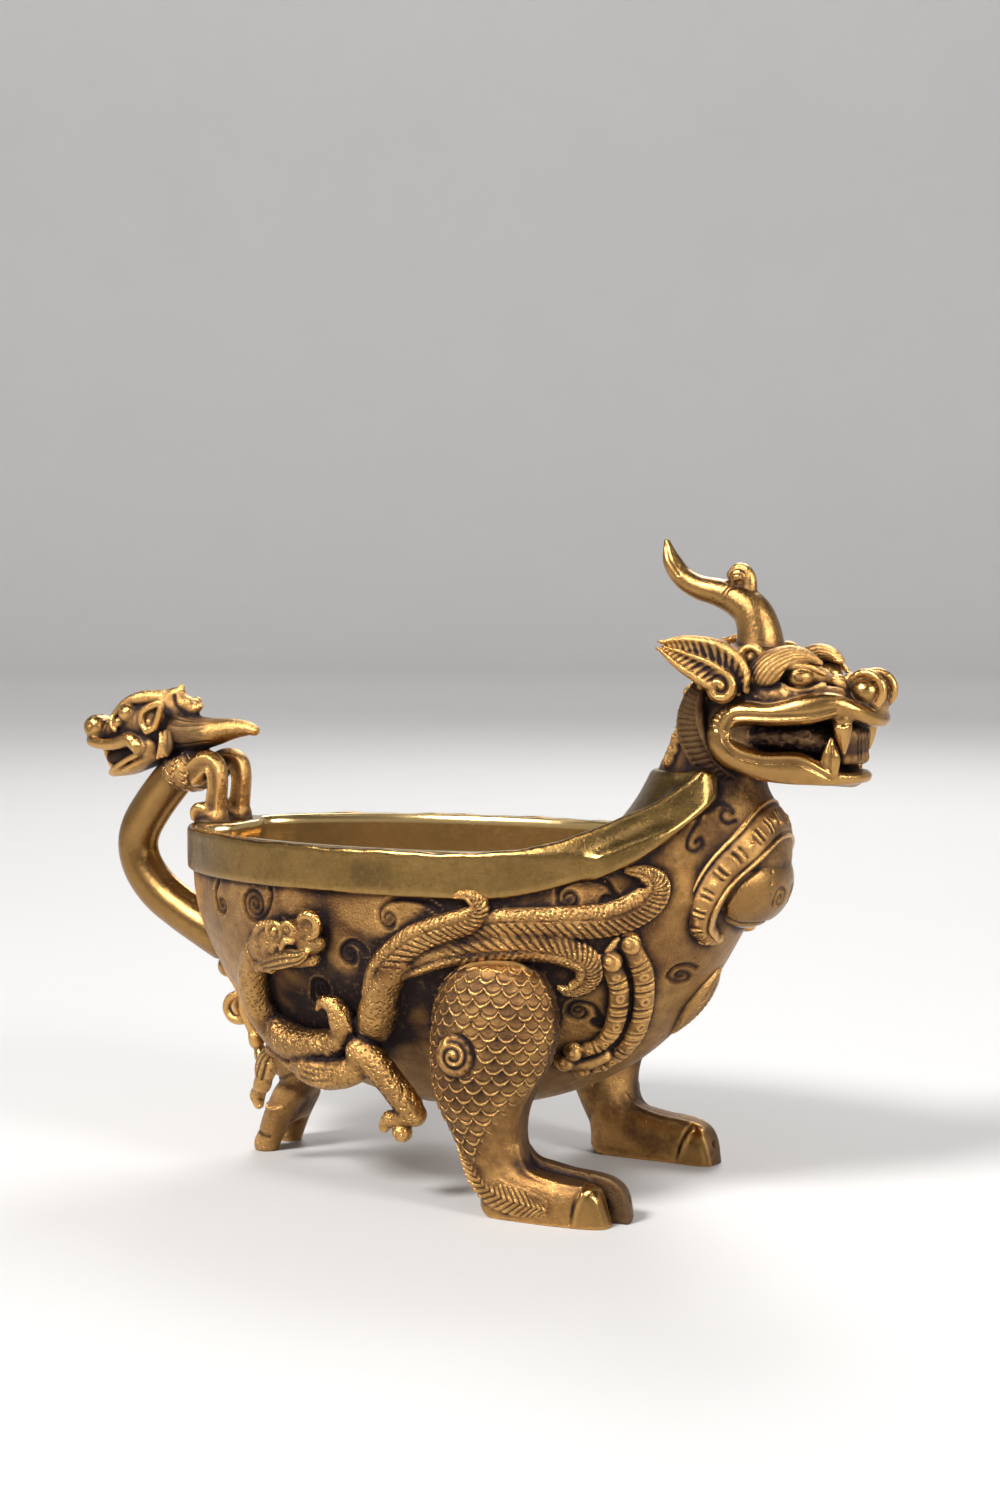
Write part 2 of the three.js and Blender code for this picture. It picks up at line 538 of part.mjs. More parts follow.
// Flank dragon on the right: its head looks back, its neck loops clear of the wall, and its tail
// spreads over the flank in three curled plumes.
function flankDragon(grow = 0) {
  const limb = (points, sizes, lift, steps) => sweep(points.map(([x, z]) => onDragon(x, z, lift)),
    sizes.map((k) => k * dragonRadius), outward, grow, steps, 5);
  const plume = (points, steps) => {
    const sizes = points.map((_, i) => [plumeHalfWidth * (i === points.length - 1 ? 0.5 : 1), plumeHeight]);
    return sweep(points.map(([x, z]) => onDrawing(x, z, 0.5)), sizes, outward, grow, steps, 5);
  };
  const body = limb([[-9, 27.4], [-2.5, 32], [0, 37.1], [3, 44]], [1.1, 1.25, 1.3, 1.1], 1.6, 4);
  const head = limb([[-29, 43.6], [-24, 45.2], [-16.5, 48.2], [-10.5, 49.4]], [0.7, 1.4, 1.4, 0.7], 1.2, 6);
  const brow = ball(onDragon(-20, 49.6, 3), dragonRadius * 0.55, grow, 6);
  const neck = limb([[-25.5, 42.3], [-30, 35.4], [-29.6, 29.6], [-23.9, 26.7], [-16.8, 26.2], [-9, 28]],
    [0.9, 1, 1, 1, 1, 1.1], 2.5, 9);
  const crest = limb([[-9.4, 27.6], [-8.3, 31.2], [-10.1, 35], [-12.7, 35.4]],
    [0.8, 0.74, 0.62, 0.32], 2.5, 5);
  const hindLeg = limb([[-18.4, 22.8], [-11.6, 23.9], [-4.6, 25.4], [2.4, 22.3], [6.2, 17.8], [2.6, 14.6]],
    [0.75, 1.15, 1.1, 0.9, 0.8, 0.55], 2.8, 9);
  const foreleg = limb([[-15, 22.8], [-24.2, 22.2], [-29.4, 22.4], [-33, 18.2], [-35.4, 14.2]],
    [0.5, 0.5, 0.56, 0.74, 0.42], 2.5, 7);
  const shortPlume = plume([[3, 43], [4.9, 47.4], [9.7, 51.2], [15.2, 53.1], [19.2, 54.9], [18, 57]], 7);
  const longPlume = plume([[4, 44], [12, 50], [22.9, 53.3], [33.8, 53.6], [42.7, 53.7], [48.6, 56.2],
    [51, 59.8], [49, 62.4], [46.4, 63]], 13);
  const lowPlume = plume([[4, 43], [14, 48], [25.8, 49.1], [35.2, 49.2], [39.4, 47.2], [38.8, 43.4],
    [35.2, 41]], 10);
  return fuse(body, head, brow, neck, crest, hindLeg, foreleg, shortPlume, longPlume, lowPlume);
}
// Spigot square to the wall, at a place on the right flank seen from the side.
function flankSpigot(x, height, grow) {
  const seat = onDrawing(x, height);
  const out = outward(seat);
  const along = (depth) => seat.clone().addScaledVector(out, -depth);
  return rod(along(-2), along(spigotDepth + grow), smallSpigotRadius + grow);
}
const dragonSpigots = (grow = 0) => fuse(flankSpigot(-18, 46.5, grow), flankSpigot(30, 51.5, grow));

// Pair of beaded straps on the right of the breast, joined by a knot at their lower end.
function straps(grow = 0) {
  const strap = (points) => sweep(points.map(([x, z]) => onDrawing(x, z, 0.4)),
    points.map(() => [strapHalfWidth, strapHeight]), outward, grow, 7, 5);
  return fuse(
    strap([[46.2, 48.6], [46.7, 43.8], [45, 36.6], [41.4, 29.2], [35.4, 25]]),
    strap([[43, 45], [43.2, 40.5], [40.8, 33.2], [37.6, 29.4], [35, 28.6]]),
    ball(onDrawing(34.8, 26.8, 0.2), [2.4, 4, 3], grow),
  );
}
const strapSpigot = (grow = 0) => flankSpigot(45.6, 40, grow);

// Tail scroll: a strand down the rear wall below the handle, with a bead and a curl.
function tailScroll(grow = 0) {
  const behind = (drop, lift) => {
    return at(cupMiddle - cupReach(stemRootHeight - drop).rear - lift, 0, stemRootHeight - drop);
  };
  const strand = [behind(5.5, 1.2), behind(10.5, 1.6), behind(15.5, 1.8), behind(20, 2)];
  const curlAt = behind(14.5, 6);
  const curl = Array.from({ length: 6 }, (_, i) => {
    const angle = degToRad(lerp(-20, -250, i / 5));
    return at(curlAt.x + 3.4 * Math.cos(angle), 0, curlAt.z + 3.4 * Math.sin(angle));
  });
  return fuse(sweep(strand, [1.8, 1.7, 1.6, 1.4], sideways, grow),
    sweep(curl, curl.map(() => 1.1), sideways, grow), ball(behind(7, 2.6), 2.4, grow));
}

// Spigot of each breast ornament, along X into the wall behind it.
const breastSpigot = (height, grow = 0) => {
  const seat = onBreast(0, height);
  return rod(at(seat + 1, 0, height), at(seat - spigotDepth - grow, 0, height), smallSpigotRadius + grow);
};
const hornSpigot = (grow = 0) => rod(hornPlace.clone().setZ(hornPlace.z + 3),
  hornPlace.clone().setZ(hornPlace.z - 4 - grow), hornRadius / 2 + grow);
const earSpigot = (grow = 0) => rod(earRoot.clone().setY(earRoot.y - 1.6),
  earRoot.clone().setY(earRoot.y + 1.4 + grow), smallSpigotRadius + grow);

// Assembly. Each piece is cut back from what it seats on, and then gets its spigot.
const gap = clearance;
const cupFace = cupBlock(rimHeight + 30, gap);
const pairSockets = [legSpigot, dragonSpigots, strapSpigot].map((spigot) => bothSides(spigot(gap)));
const shell = cut(fuse(cut(cupBlock(rimHeight), hollow()), ledge().intersect(cupBlock(rimHeight, -0.4))),
  rimBand(gap), neckPlug(gap), ...pairSockets, rearSpigot(gap), stemSpigot(gap),
  breastSpigot(leafHeight, gap));
const neck = largest(cut(fuse(neckColumn(), neckFlare(), neckPlug(), hangingSwell()), rimBand(gap),
  breastSpigot(bossHeight, gap)));
const skullSolid = largest(cut(skull(), neckColumn(gap), hornSpigot(gap), bothSides(earSpigot(gap))));
const jawSolid = largest(cut(lowerJaw(), neckColumn(gap), skull(gap)));
const fang = rod(onHead(20.4, -7, -2.6), onHead(20.4, -7.4, -9.4), 1.6, 0.4, 6);
const rightLeg = fuse(largest(cut(frontLeg(), cupFace)), legSpigot());
const rightDragon = fuse(largest(cut(flankDragon(), cupFace, rimBand(gap), frontLeg(gap))), dragonSpigots());
const rightStraps = fuse(largest(cut(straps(), cupFace, frontLeg(gap), flankDragon(gap))), strapSpigot());
const rightEar = fuse(largest(cut(ear(), skull(gap))), earSpigot());
const rightForeleg = largest(cut(foreleg(), handleHead(gap), rimBand(gap)));
const throatRuff = largest(cut(ruff(), neckColumn(gap), skull(gap), lowerJaw(gap)));
const breastBoss = fuse(largest(cut(boss(), cupFace, swell(gap))), breastSpigot(bossHeight));
const ringSolid = largest(cut(breastRing(), cupFace, neckColumn(gap), swell(gap), neck, rimBand(gap),
  ruff(gap)));
const leaf = fuse(largest(cut(breastLeaf(), cupFace)), breastSpigot(leafHeight));
const rearLegSolid = fuse(largest(cut(rearLeg(), cupFace)), rearSpigot());
const stem = fuse(largest(cut(handleStem(), cupFace)), stemSpigot());
const scroll = largest(cut(tailScroll(), cupFace, handleStem(gap), rearLeg(gap)));

const gilt = (color, roughness) => new THREE.MeshStandardMaterial({ color, roughness, metalness: 1 });
const censer = new THREE.Group();
function piece(name, solid, seat, material) {
  const { numProp, vertProperties, triVerts } = solid.getMesh();
  const geometry = new THREE.BufferGeometry();
  const positions = Array.from({ length: vertProperties.length / numProp }, (_, i) => {
    return at(...vertProperties.slice(i * numProp, i * numProp + 3)).sub(seat).toArray();
  });
  geometry.setAttribute('position', new THREE.Float32BufferAttribute(positions.flat(), 3));
  geometry.setIndex(Array.from(triVerts));
  geometry.computeVertexNormals();
  const mesh = new THREE.Mesh(geometry, material);
  mesh.name = name;
  mesh.position.copy(seat);
  censer.add(mesh);
}
function pair(name, solid, seat, color, roughness) {
  piece(`${name}_right`, solid, seat, gilt(color, roughness));
  piece(`${name}_left`, mirrored(solid), at(seat.x, -seat.y, seat.z), gilt(color, roughness));
}

piece('cup_shell', shell, at(cupMiddle, 0, cupFoot), gilt(0x9a6a34, 0.42));
piece('rim_band', rimBand(), at(cupMiddle, 0, rimHeight), gilt(0xa08a4e, 0.3));
piece('neck', neck, neckFoot, gilt(0xa6793c, 0.4));
piece('skull', fuse(skullSolid, bothSides(fang)), headPlace, gilt(0xb08440, 0.35));
piece('lower_jaw', jawSolid, headPlace, gilt(0xb08440, 0.35));
piece('throat_ruff', throatRuff, headPlace, gilt(0x8a5f30, 0.45));
piece('horn', fuse(largest(cut(horn(), skull(gap))), hornSpigot()), hornPlace, gilt(0xb48a48, 0.32));
pair('ear', rightEar, earRoot, 0xb08440, 0.36);
piece('breast_boss', breastBoss, bossPlace, gilt(0xa87c3e, 0.34));
piece('breast_ring', ringSolid, bossPlace, gilt(0xb08444, 0.38));
piece('breast_leaf', leaf, at(onBreast(0, leafHeight), 0, leafHeight), gilt(0xb08444, 0.38));
pair('front_leg', rightLeg, at(thighX, -thighSpread, 0), 0xaa7c3c, 0.38);
piece('rear_leg', rearLegSolid, rearTop, gilt(0x9a6c36, 0.42));
piece('handle_stem', stem, stemRoot, gilt(0xa88446, 0.32));
piece('handle_head', cut(handleHead(), handleStem(gap)), browPlace, gilt(0xa07840, 0.4));
pair('handle_foreleg', rightForeleg, at(browPlace.x + 18, -forelegSpread, ledgeTop), 0xa07840, 0.4);
pair('flank_dragon', rightDragon, onDrawing(2.4, 42.5), 0xac7e3e, 0.44);
pair('strap_pair', rightStraps, onDrawing(45.6, 40), 0xac7e3e, 0.42);
piece('tail_scroll', scroll, at(stemRoot.x, 0, stemRootHeight - 14), gilt(0xa07840, 0.42));

// The group's origin is the middle of its box, on the ground.
const box = new THREE.Box3().setFromObject(censer, true);
censer.position.set(-(box.min.x + box.max.x) / 2, -(box.min.y + box.max.y) / 2, -box.min.z);

export default censer;
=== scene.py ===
"""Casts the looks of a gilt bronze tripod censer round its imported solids.

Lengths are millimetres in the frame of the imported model: +X is the beast's front, +Y its left flank and
+Z up. Pieces are modelled as clay, a grid of signed distances, and cast in metres. The settings and the
stage are in metres too.
"""

import json
import math

import bpy
import numpy as np
import openvdb
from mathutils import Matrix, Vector

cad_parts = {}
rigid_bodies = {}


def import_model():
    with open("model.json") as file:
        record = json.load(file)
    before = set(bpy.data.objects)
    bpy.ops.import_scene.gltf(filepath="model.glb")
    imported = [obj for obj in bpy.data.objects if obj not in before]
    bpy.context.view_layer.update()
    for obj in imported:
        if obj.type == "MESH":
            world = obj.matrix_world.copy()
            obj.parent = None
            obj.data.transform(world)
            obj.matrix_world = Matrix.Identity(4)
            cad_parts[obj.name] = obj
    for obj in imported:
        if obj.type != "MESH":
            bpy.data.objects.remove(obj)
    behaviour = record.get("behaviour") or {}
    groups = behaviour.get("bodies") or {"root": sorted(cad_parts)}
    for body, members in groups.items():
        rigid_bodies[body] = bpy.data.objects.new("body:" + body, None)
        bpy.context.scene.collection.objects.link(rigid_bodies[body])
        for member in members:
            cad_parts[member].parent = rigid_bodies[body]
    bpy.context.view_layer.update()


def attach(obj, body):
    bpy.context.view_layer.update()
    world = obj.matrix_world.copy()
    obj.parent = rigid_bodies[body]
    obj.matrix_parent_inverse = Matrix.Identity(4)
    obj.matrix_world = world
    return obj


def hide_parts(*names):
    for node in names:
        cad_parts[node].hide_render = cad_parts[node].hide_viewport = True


bl_info = {
    "name": "Gilt Tripod Censer",
    "version": (1, 0, 0),
    "blender": (4, 5, 0),
    "location": "3D View > Sidebar > Censer",
    "description": "Casts the chased and gilt pieces of a tripod censer",
    "category": "Object",
}

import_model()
METRE = 0.001
FAR = 3.0  # distance kept for cells away from any surface
UNREACHED = 99.0  # distance kept for cells that a route does not reach
MARGIN = 1.8  # width of the cells round a form that are worked on
RELIEF_REACH, RELIEF_SCALE = (0.7, 2.0), (0.16, 1.1)  # fine and wide relief of a surface
SKIN_SEED = 5
CRUMB = 120  # points of a shell too small to keep
COARSE = 1.0

# Cup, as in the part's source
CUP_FOOT, CUP_SHOULDER, RIM = 13.0, 57.0, 66.0
CUP_MIDDLE, CUP_FRONT, CUP_REAR, CUP_HALF = 1.2, 61.5, 57.0, 33.4
CUP_WALL, CUP_FLOOR, MOUTH_FRONT = 2.4, 4.5, 35.0
CUP_COLUMNS, CUP_LEVELS, HOLLOW_LEVELS = 660, 112, 22  # rows of its mesh
LEDGE_LENGTH, LEDGE_HALF, LEDGE_DEPTH = 7, 8.6, 9  # under the feet of the handle

# Band, neck and breast
BAND_HEIGHT, BAND_PROUD, BAND_INLET = 8.4, 1.2, 0.6
BAND_CLIMB, BAND_CLIMB_START, BAND_PINCH = 0.0095, 17.0, 0.0185
NECK_X, NECK_RISE, NECK_LEAN = 49.5, 30.0, 8.8
COLLAR_TOP = 80.0
SWELL, SWELL_RADII = np.array([56.0, 0, 64]), np.array([12.3, 13, 14.6])
BOSS, BOSS_RADII = np.array([59.8, 0, 59.8]), np.array([8.7, 12.2, 8.8])

# Flank: below this height a figure hangs clear of the belly
FLANK_FOOT = 30.0
DRAGON_HEAD, DRAGON_TILT = (-18, 47.6), 0.22  # middle of the dragon's head, and its turn in radians

# Chasing and scales
HATCH_PITCH, HATCH_DEPTH = 1.1, 0.26
SCALE_WIDTH, SCALE_ROW = 2.85, 2.0
BUMP_DEPTH = 0.26

# Places on the flank between the dragon, its plumes and the thigh, painted dark with patina and painted
# shade: x, height and reach
PATINA_AND_SHADE_SPOTS = ((-18.5, 34.5, 6.5), (-9, 38.5, 5.5), (-1.5, 45, 4), (2.5, 33, 6), (8, 41, 3.5), (14, 56.4, 2.6))
PATINA_AND_SHADE_SHARE, PATINA_AND_SHADE_SIDE = 0.2, 12  # strength, and the least distance to the side
LOOM_SHARE = 0.12  # strength of the painted shade under large masses

# Stage, in metres
CAMERA_PLACE, CAMERA_AIM = (0.193759, -0.386632, 0.111122), (-0.427957, 0.901275, -0.067493)
CAMERA_SENSOR = 36
LAMP_TARGET = (0, 0, 0.06)


def step(low, high, value):
    """Smooth ramp from 0 at low to 1 at high."""
    t = np.clip((value - low) / (high - low), 0, 1)
    return t * t * (3 - 2 * t)


def smooth(points, count):
    """Points spread over a smooth curve through the given ones, with any further columns."""
    p = np.asarray(points, float)
    ends = np.vstack([2 * p[0] - p[1], p, 2 * p[-1] - p[-2]])
    u = np.linspace(0, len(p) - 1, count)
    k = np.minimum(u.astype(int), len(p) - 2)
    t = (u - k)[:, None]
    a, b, c, d = (ends[k + i] for i in range(4))
    return 0.5 * (2 * b + (c - a) * t + (2 * a - 5 * b + 4 * c - d) * t**2 + (3 * b - a - 3 * c + d) * t**3)


def unit(vectors):
    """Vectors of length 1."""
    vectors = np.asarray(vectors, float)
    return vectors / np.linalg.norm(vectors, axis=-1, keepdims=True)


def blur(field, cells):
    """Mean over a box that reaches so many cells each way."""
    span = 2 * cells + 1
    for axis in range(3):
        pad = [(0, 0)] * 3
        pad[axis] = (cells + 1, cells)
        total = np.cumsum(np.pad(field, pad, mode="edge"), axis=axis, dtype=np.float64)
        upper = np.take(total, range(span, total.shape[axis]), axis)
        lower = np.take(total, range(total.shape[axis] - span), axis)
        field = ((upper - lower) / span).astype(np.float32)
    return field


def sample(field, places):
    """Values of a grid at places given in cells."""
    top = np.array(field.shape) - 1
    places = np.clip(places, 0, top - 1e-4)
    base = places.astype(int)
    t = places - base
    value = 0
    for corner in np.ndindex(2, 2, 2):
        weight = np.prod(np.where(corner, t, 1 - t), axis=1)
        i, j, k = (base + corner).T
        value = value + weight * field[i, j, k]
    return value


def oval(offsets, radii):
    """Distance to an oval or egg, from offsets along its axes and its radii."""
    scaled = np.sqrt(sum((q / r) ** 2 for q, r in zip(offsets, radii)))
    slope = np.sqrt(sum((q / r**2) ** 2 for q, r in zip(offsets, radii)))
    return scaled * (scaled - 1) / np.maximum(slope, 1e-4)


def ridge(offset, width):
    """Bell of height 1 that fades within a width each way."""
    return np.exp(-((offset / width) ** 2))


def round_max(a, b, soft):
    """Larger of two distances, with the edge between them rounded."""
    edge = np.maximum(soft - np.abs(a - b), 0) / soft
    return np.maximum(a, b) + edge * edge * soft / 4


class Clay:
    """A block of modelling clay. Half blocks hold the side of y < 0 and are mirrored when cast."""

    def __init__(self, low, high, grain, half=False):
        self.grain, self.half = grain * COARSE, half
        self.low = np.floor(np.asarray(low, float) / self.grain) * self.grain
        high = np.where([False, half, False], 0, high)
        shape = np.rint((high - self.low) / self.grain).astype(int) + 1
        self.field = np.full(shape, FAR, np.float32)
        self.line, self.lined, self.sheen = (np.zeros(shape, np.float32) for _ in range(3))

    def window(self, low, high):
        """Ranges of the cells in a box, and their coordinates."""
        first = np.floor((np.asarray(low) - self.low) / self.grain).astype(int)
        last = np.ceil((np.asarray(high) - self.low) / self.grain).astype(int) + 1
        first, last = (np.clip(v, 0, self.field.shape) for v in (first, last))
        part = tuple(slice(a, b) for a, b in zip(first, last))
        rows = [self.low[i] + self.grain * np.arange(first[i], last[i]) for i in range(3)]
        shapes = (-1, 1, 1), (1, -1, 1), (1, 1, -1)
        return part, [r.astype(np.float32).reshape(shape) for r, shape in zip(rows, shapes)]

    def everywhere(self):
        """Ranges of all the cells, and their coordinates."""
        return self.window(self.low, self.low + self.grain * np.array(self.field.shape))

    def add(self, part, distance, soft=0.6, line=None, lined=0.0, sheen=0.0):
        """Joins a form to the clay with a fillet, and marks where it is on top."""
        old = self.field[part]
        on_top = distance < old
        self.sheen[part] = np.where(on_top, sheen, self.sheen[part])
        self.lined[part] = np.where(on_top, lined, self.lined[part])
        if line is not None:
            self.line[part] = np.where(on_top, line, self.line[part])
        fillet = np.maximum(soft - np.abs(old - distance), 0) / soft
        self.field[part] = np.minimum(old, distance) - fillet * fillet * soft / 4

    def cut(self, part, distance, soft=0.3):
        """Takes a form out of the clay."""
        old = self.field[part]
        edge = np.maximum(soft - np.abs(old + distance), 0) / soft
        self.field[part] = np.maximum(old, -distance) + edge * edge * soft / 4

    def follow(self, route, reach, up=None):
        """For cells round a route: distance, share of its length, offsets across, above and beyond it."""
        route = route[:, :3]
        part, axes = self.window(route.min(0) - reach, route.max(0) + reach)
        shape = self.field[part].shape
        near = np.full(shape, UNREACHED, np.float32)
        share, across, above, beyond = (np.zeros(shape, np.float32) for _ in range(4))
        ups = None if up is None else np.broadcast_to(up, route.shape)
        for k in range(len(route) - 1):
            a, b = route[k], route[k + 1]
            lows, highs = np.minimum(a, b) - reach, np.maximum(a, b) + reach
            spans = [np.searchsorted(r.ravel(), (lo, hi)) for r, lo, hi in zip(axes, lows, highs)]
            if any(s[0] == s[1] for s in spans):
                continue
            sub = tuple(slice(*s) for s in spans)
            x, y, z = axes[0][sub[0]] - a[0], axes[1][:, sub[1]] - a[1], axes[2][:, :, sub[2]] - a[2]
            run = b - a
            length = np.linalg.norm(run)
            along = (x * run[0] + y * run[1] + z * run[2]) / length**2
            t = np.clip(along, 0, 1)
            q = [x - t * run[0], y - t * run[1], z - t * run[2]]
            distance = np.sqrt(q[0] ** 2 + q[1] ** 2 + q[2] ** 2)
            closer = distance < near[sub]
            near[sub] = np.where(closer, distance, near[sub])
            share[sub] = np.where(closer, (k + t) / (len(route) - 1), share[sub])
            if ups is not None:
                ahead = run / length
                out = unit(ups[k] - ahead * (ups[k] @ ahead))
                side = np.cross(ahead, out)
                for store, axis in ((across, side), (above, out)):
                    offset = q[0] * axis[0] + q[1] * axis[1] + q[2] * axis[2]
                    store[sub] = np.where(closer, offset, store[sub])
                beyond[sub] = np.where(closer, (along - t) * length, beyond[sub])
        return part, near, share, across, above, beyond

    def rope(self, points, soft=0.6, sheen=0.0, spread=6):
        """Round bar. Each point is x, y, z and a radius."""
        route = smooth(points, spread * len(points))
        part, near, share, *_ = self.follow(route, route[:, 3].max() + MARGIN)
        radius = np.interp(share, np.linspace(0, 1, len(route)), route[:, 3])
        self.add(part, near - radius, soft, sheen=sheen)

    def ribbon(self, points, up, soft=0.5, crown=None, lines=None, sheen=0.0, spread=6):
        """Flat bar. Each point is x, y, z, half width and half height; crown raises its face."""
        route = smooth(points, spread * len(points))
        up = up(route) if callable(up) else up
        part, near, share, across, above, beyond = self.follow(route, route[:, 3:5].max() + MARGIN, up)
        places = np.linspace(0, 1, len(route))
        half, height = (np.interp(share, places, route[:, i]) for i in (3, 4))
        length = np.linalg.norm(np.diff(route[:, :3], axis=0), axis=1).sum()
        end = np.minimum(half, height)
        distance = np.where(near < UNREACHED, oval((across, above, beyond), (half, height, end)), FAR)
        place, v = share * length, across / half
        if crown:
            distance = distance - crown(place, v, share)
        line, lined = lines(place, v, share) if lines else (None, 0.0)
        if lines:
            wave = 0.5 + 0.5 * np.cos(line * 2 * math.pi / HATCH_PITCH)
            distance = distance + HATCH_DEPTH * lined * wave
        self.add(part, distance, soft, line, lined, sheen)

    def blob(self, centre, radii):
        """Ranges of the cells round a ball, and their distances to it."""
        radii = np.broadcast_to(np.asarray(radii, float), 3)
        centre = np.asarray(centre, float)
        part, axes = self.window(centre - radii - MARGIN, centre + radii + MARGIN)
        return part, oval([a - c for a, c in zip(axes, centre)], radii)

    def ball(self, centre, radii, soft=0.6, sheen=0.0):
        """Ball or egg."""
        part, distance = self.blob(centre, radii)
        self.add(part, distance, soft, sheen=sheen)

    def roughen(self, centre, radii, depth, reach=1):
        """Gives the surface inside a ball a rough cast skin."""
        part, axes = self.window(np.subtract(centre, radii), np.add(centre, radii))
        grit = np.random.default_rng(SKIN_SEED).normal(size=self.field[part].shape)
        lumps = blur(grit.astype(np.float32), reach)
        inside = step(1, 0.6, np.sqrt(sum(((a - c) / r) ** 2 for a, c, r in zip(axes, centre, radii))))
        self.field[part] += depth * inside * lumps / lumps.std()

    def level(self, height):
        """Cuts the clay flat below a height."""
        _, axes = self.everywhere()
        self.field = np.maximum(self.field, height - axes[2])

    def chase(self, points, width, depth, spread=5):
        """Chases a groove along a line on the surface; a negative depth raises a bead."""
        route = self.settle(smooth(points, spread * len(points)))
        part, near, *_ = self.follow(route, width * 1.6)
        self.field[part] += depth * np.clip(1 - (near / (1.5 * width)) ** 2, 0, 1) ** 2

    def settle(self, points):
        """Moves points on to the surface."""
        p = np.array(points, float)[:, :3]
        for _ in range(6):
            value = sample(self.field, (p - self.low) / self.grain)
            ahead, behind = (np.stack([sample(self.field, (p + sign * e - self.low) / self.grain)
                                       for e in np.eye(3) * self.grain], 1) for sign in (1, -1))
            slope = (ahead - behind) / (2 * self.grain)
            pull = value[:, None] * slope / np.maximum((slope**2).sum(1, keepdims=True), 0.2)
            p = p - np.clip(pull, -1, 1)
        return p

    def cast(self):
        """Points, faces and marks of the surface."""
        grids = {"field": self.field, "line": self.line, "lined": self.lined, "sheen": self.sheen}
        if self.half:
            grids = {k: np.concatenate([g, g[:, -2::-1]], axis=1) for k, g in grids.items()}
        field = grids.pop("field")
        grid = openvdb.FloatGrid(FAR)
        grid.copyFromArray(np.pad(field, 1, constant_values=FAR))
        points, faces = grid.convertToQuads(0.0)
        points, faces = shells(points.astype(float) - 1, faces.astype(int))
        marks = {k: sample(g, points) for k, g in grids.items()}
        near = np.clip(field, -2, 2)
        cells = (max(1, round(reach / self.grain)) for reach in RELIEF_REACH)
        fine, wide = (sample(blur(near, n), points) / scale for n, scale in zip(cells, RELIEF_SCALE))
        marks["relief"] = fine + wide
        return self.low + self.grain * points, faces, marks


def shells(points, faces):
    """Drops crumbs and keeps the shells that have some size."""
    label = np.arange(len(points))
    a, b = faces[:, [0, 1, 2]].ravel(), faces[:, [1, 2, 3]].ravel()
    while True:
        low = np.minimum(label[a], label[b])
        fresh = label.copy()
        np.minimum.at(fresh, a, low)
        np.minimum.at(fresh, b, low)
        fresh = fresh[fresh]
        if (fresh == label).all():
            break
        label = fresh
    keep = np.bincount(label, minlength=len(label))[label] > CRUMB
    order = np.cumsum(keep) - 1
    return points[keep], order[faces[keep[faces[:, 0]]]]


def cup_reach(height):
    """Half lengths to the front and rear and half width of the cup at a height."""
    t = np.clip((height - CUP_FOOT) / (CUP_SHOULDER - CUP_FOOT), 0, 1)
    full = np.sqrt(1 - (1 - t) ** 1.85)
    breast = 0.62 * np.sqrt(1 - (1 - t) ** 4) + 0.38 * t
    return CUP_FRONT * breast, CUP_REAR * full, CUP_HALF * full


def on_flank(x, height, lift=0.0):
    """Points of the right flank, seen from the side."""
    x, height = np.broadcast_arrays(np.asarray(x, float), np.asarray(height, float))
    front, rear, side = cup_reach(np.maximum(height, CUP_FOOT + 1))
    reach = np.clip((x - CUP_MIDDLE) / np.where(x > CUP_MIDDLE, front, rear), -0.97, 0.97)
    return np.stack([x, -side * np.sqrt(1 - reach**2) - lift, height], -1)


def flank_up(points):
    """Directions that leave the flank squarely."""
    x, z = points[:, 0], np.maximum(points[:, 2], FLANK_FOOT)
    return unit(np.cross(on_flank(x + 0.1, z) - on_flank(x - 0.1, z),
                         on_flank(x, z + 0.1) - on_flank(x, z - 0.1)))


def drawn(rows, lift=0.0, hang=False):
    """Puts rows of x, height and sizes on the flank. What hangs drops straight below FLANK_FOOT."""
    rows = np.asarray(rows, float)
    points = on_flank(rows[:, 0], np.maximum(rows[:, 1], FLANK_FOOT) if hang else rows[:, 1], lift)
    points[:, 2] = rows[:, 1]
    return np.hstack([points, rows[:, 2:]])


def scroll(x, z, radius, turns, start, hand, tail=()):
    """Rows of x and height along a chased spiral from its eye to the end of its tail."""
    t = np.linspace(0, 1, int(14 * turns))
    angle = math.radians(start) - hand * 2 * math.pi * turns * (1 - t)
    r = radius * (0.1 + 0.9 * t)
    rows = np.stack([x + r * np.cos(angle), z + r * np.sin(angle)], 1)
    return np.vstack([rows, np.asarray(tail, float).reshape(-1, 2)])


FLANK_SCROLLS = [
    scroll(3.5, 53.3, 1.7, 1.6, 180, -1,
           [(1.9, 54.8), (3.3, 56.2), (5.8, 57), (9, 57), (11.8, 56.4), (13.4, 55.4)]),
    scroll(-27.6, 53.5, 2.9, 2.1, 180, 1,
           [(-29.6, 51), (-26.9, 50.6), (-24.3, 52.4), (-22.9, 55.3), (-23.1, 57)]),
    scroll(-37.9, 52.3, 1.8, 1.6, 180, -1, [(-39.6, 54.9), (-38.4, 56.8)]),
    scroll(-5.4, 46, 1.8, 1.6, 180, -1, [(-6.6, 47.4), (-4.6, 48.6), (-2.6, 48), (-1.5, 46.6)]),
    scroll(-12.9, 38.6, 2.1, 1.7, 180, 1, [(-15.5, 36.6), (-14.6, 35.4)]),
    np.vstack([scroll(36.6, 58.2, 1.8, 1.5, 180, -1), [(35, 59.8), (36.6, 61.2), (39.8, 62), (42.8, 61)],
               scroll(43, 58, 1.5, 1.4, 60, 1)[::-1]]),
    np.vstack([scroll(35.8, 36.8, 1.6, 1.5, 180, -1), [(34.8, 38.2), (36.2, 38.8), (38.4, 38)],
               scroll(38.2, 34.8, 1.3, 1.2, 60, 1)[::-1]]),
    scroll(51.6, 43, 1.4, 1.3, 200, -1, [(50.1, 43.4), (51.4, 44.9), (53, 45.2), (53.8, 44.2)]),
]


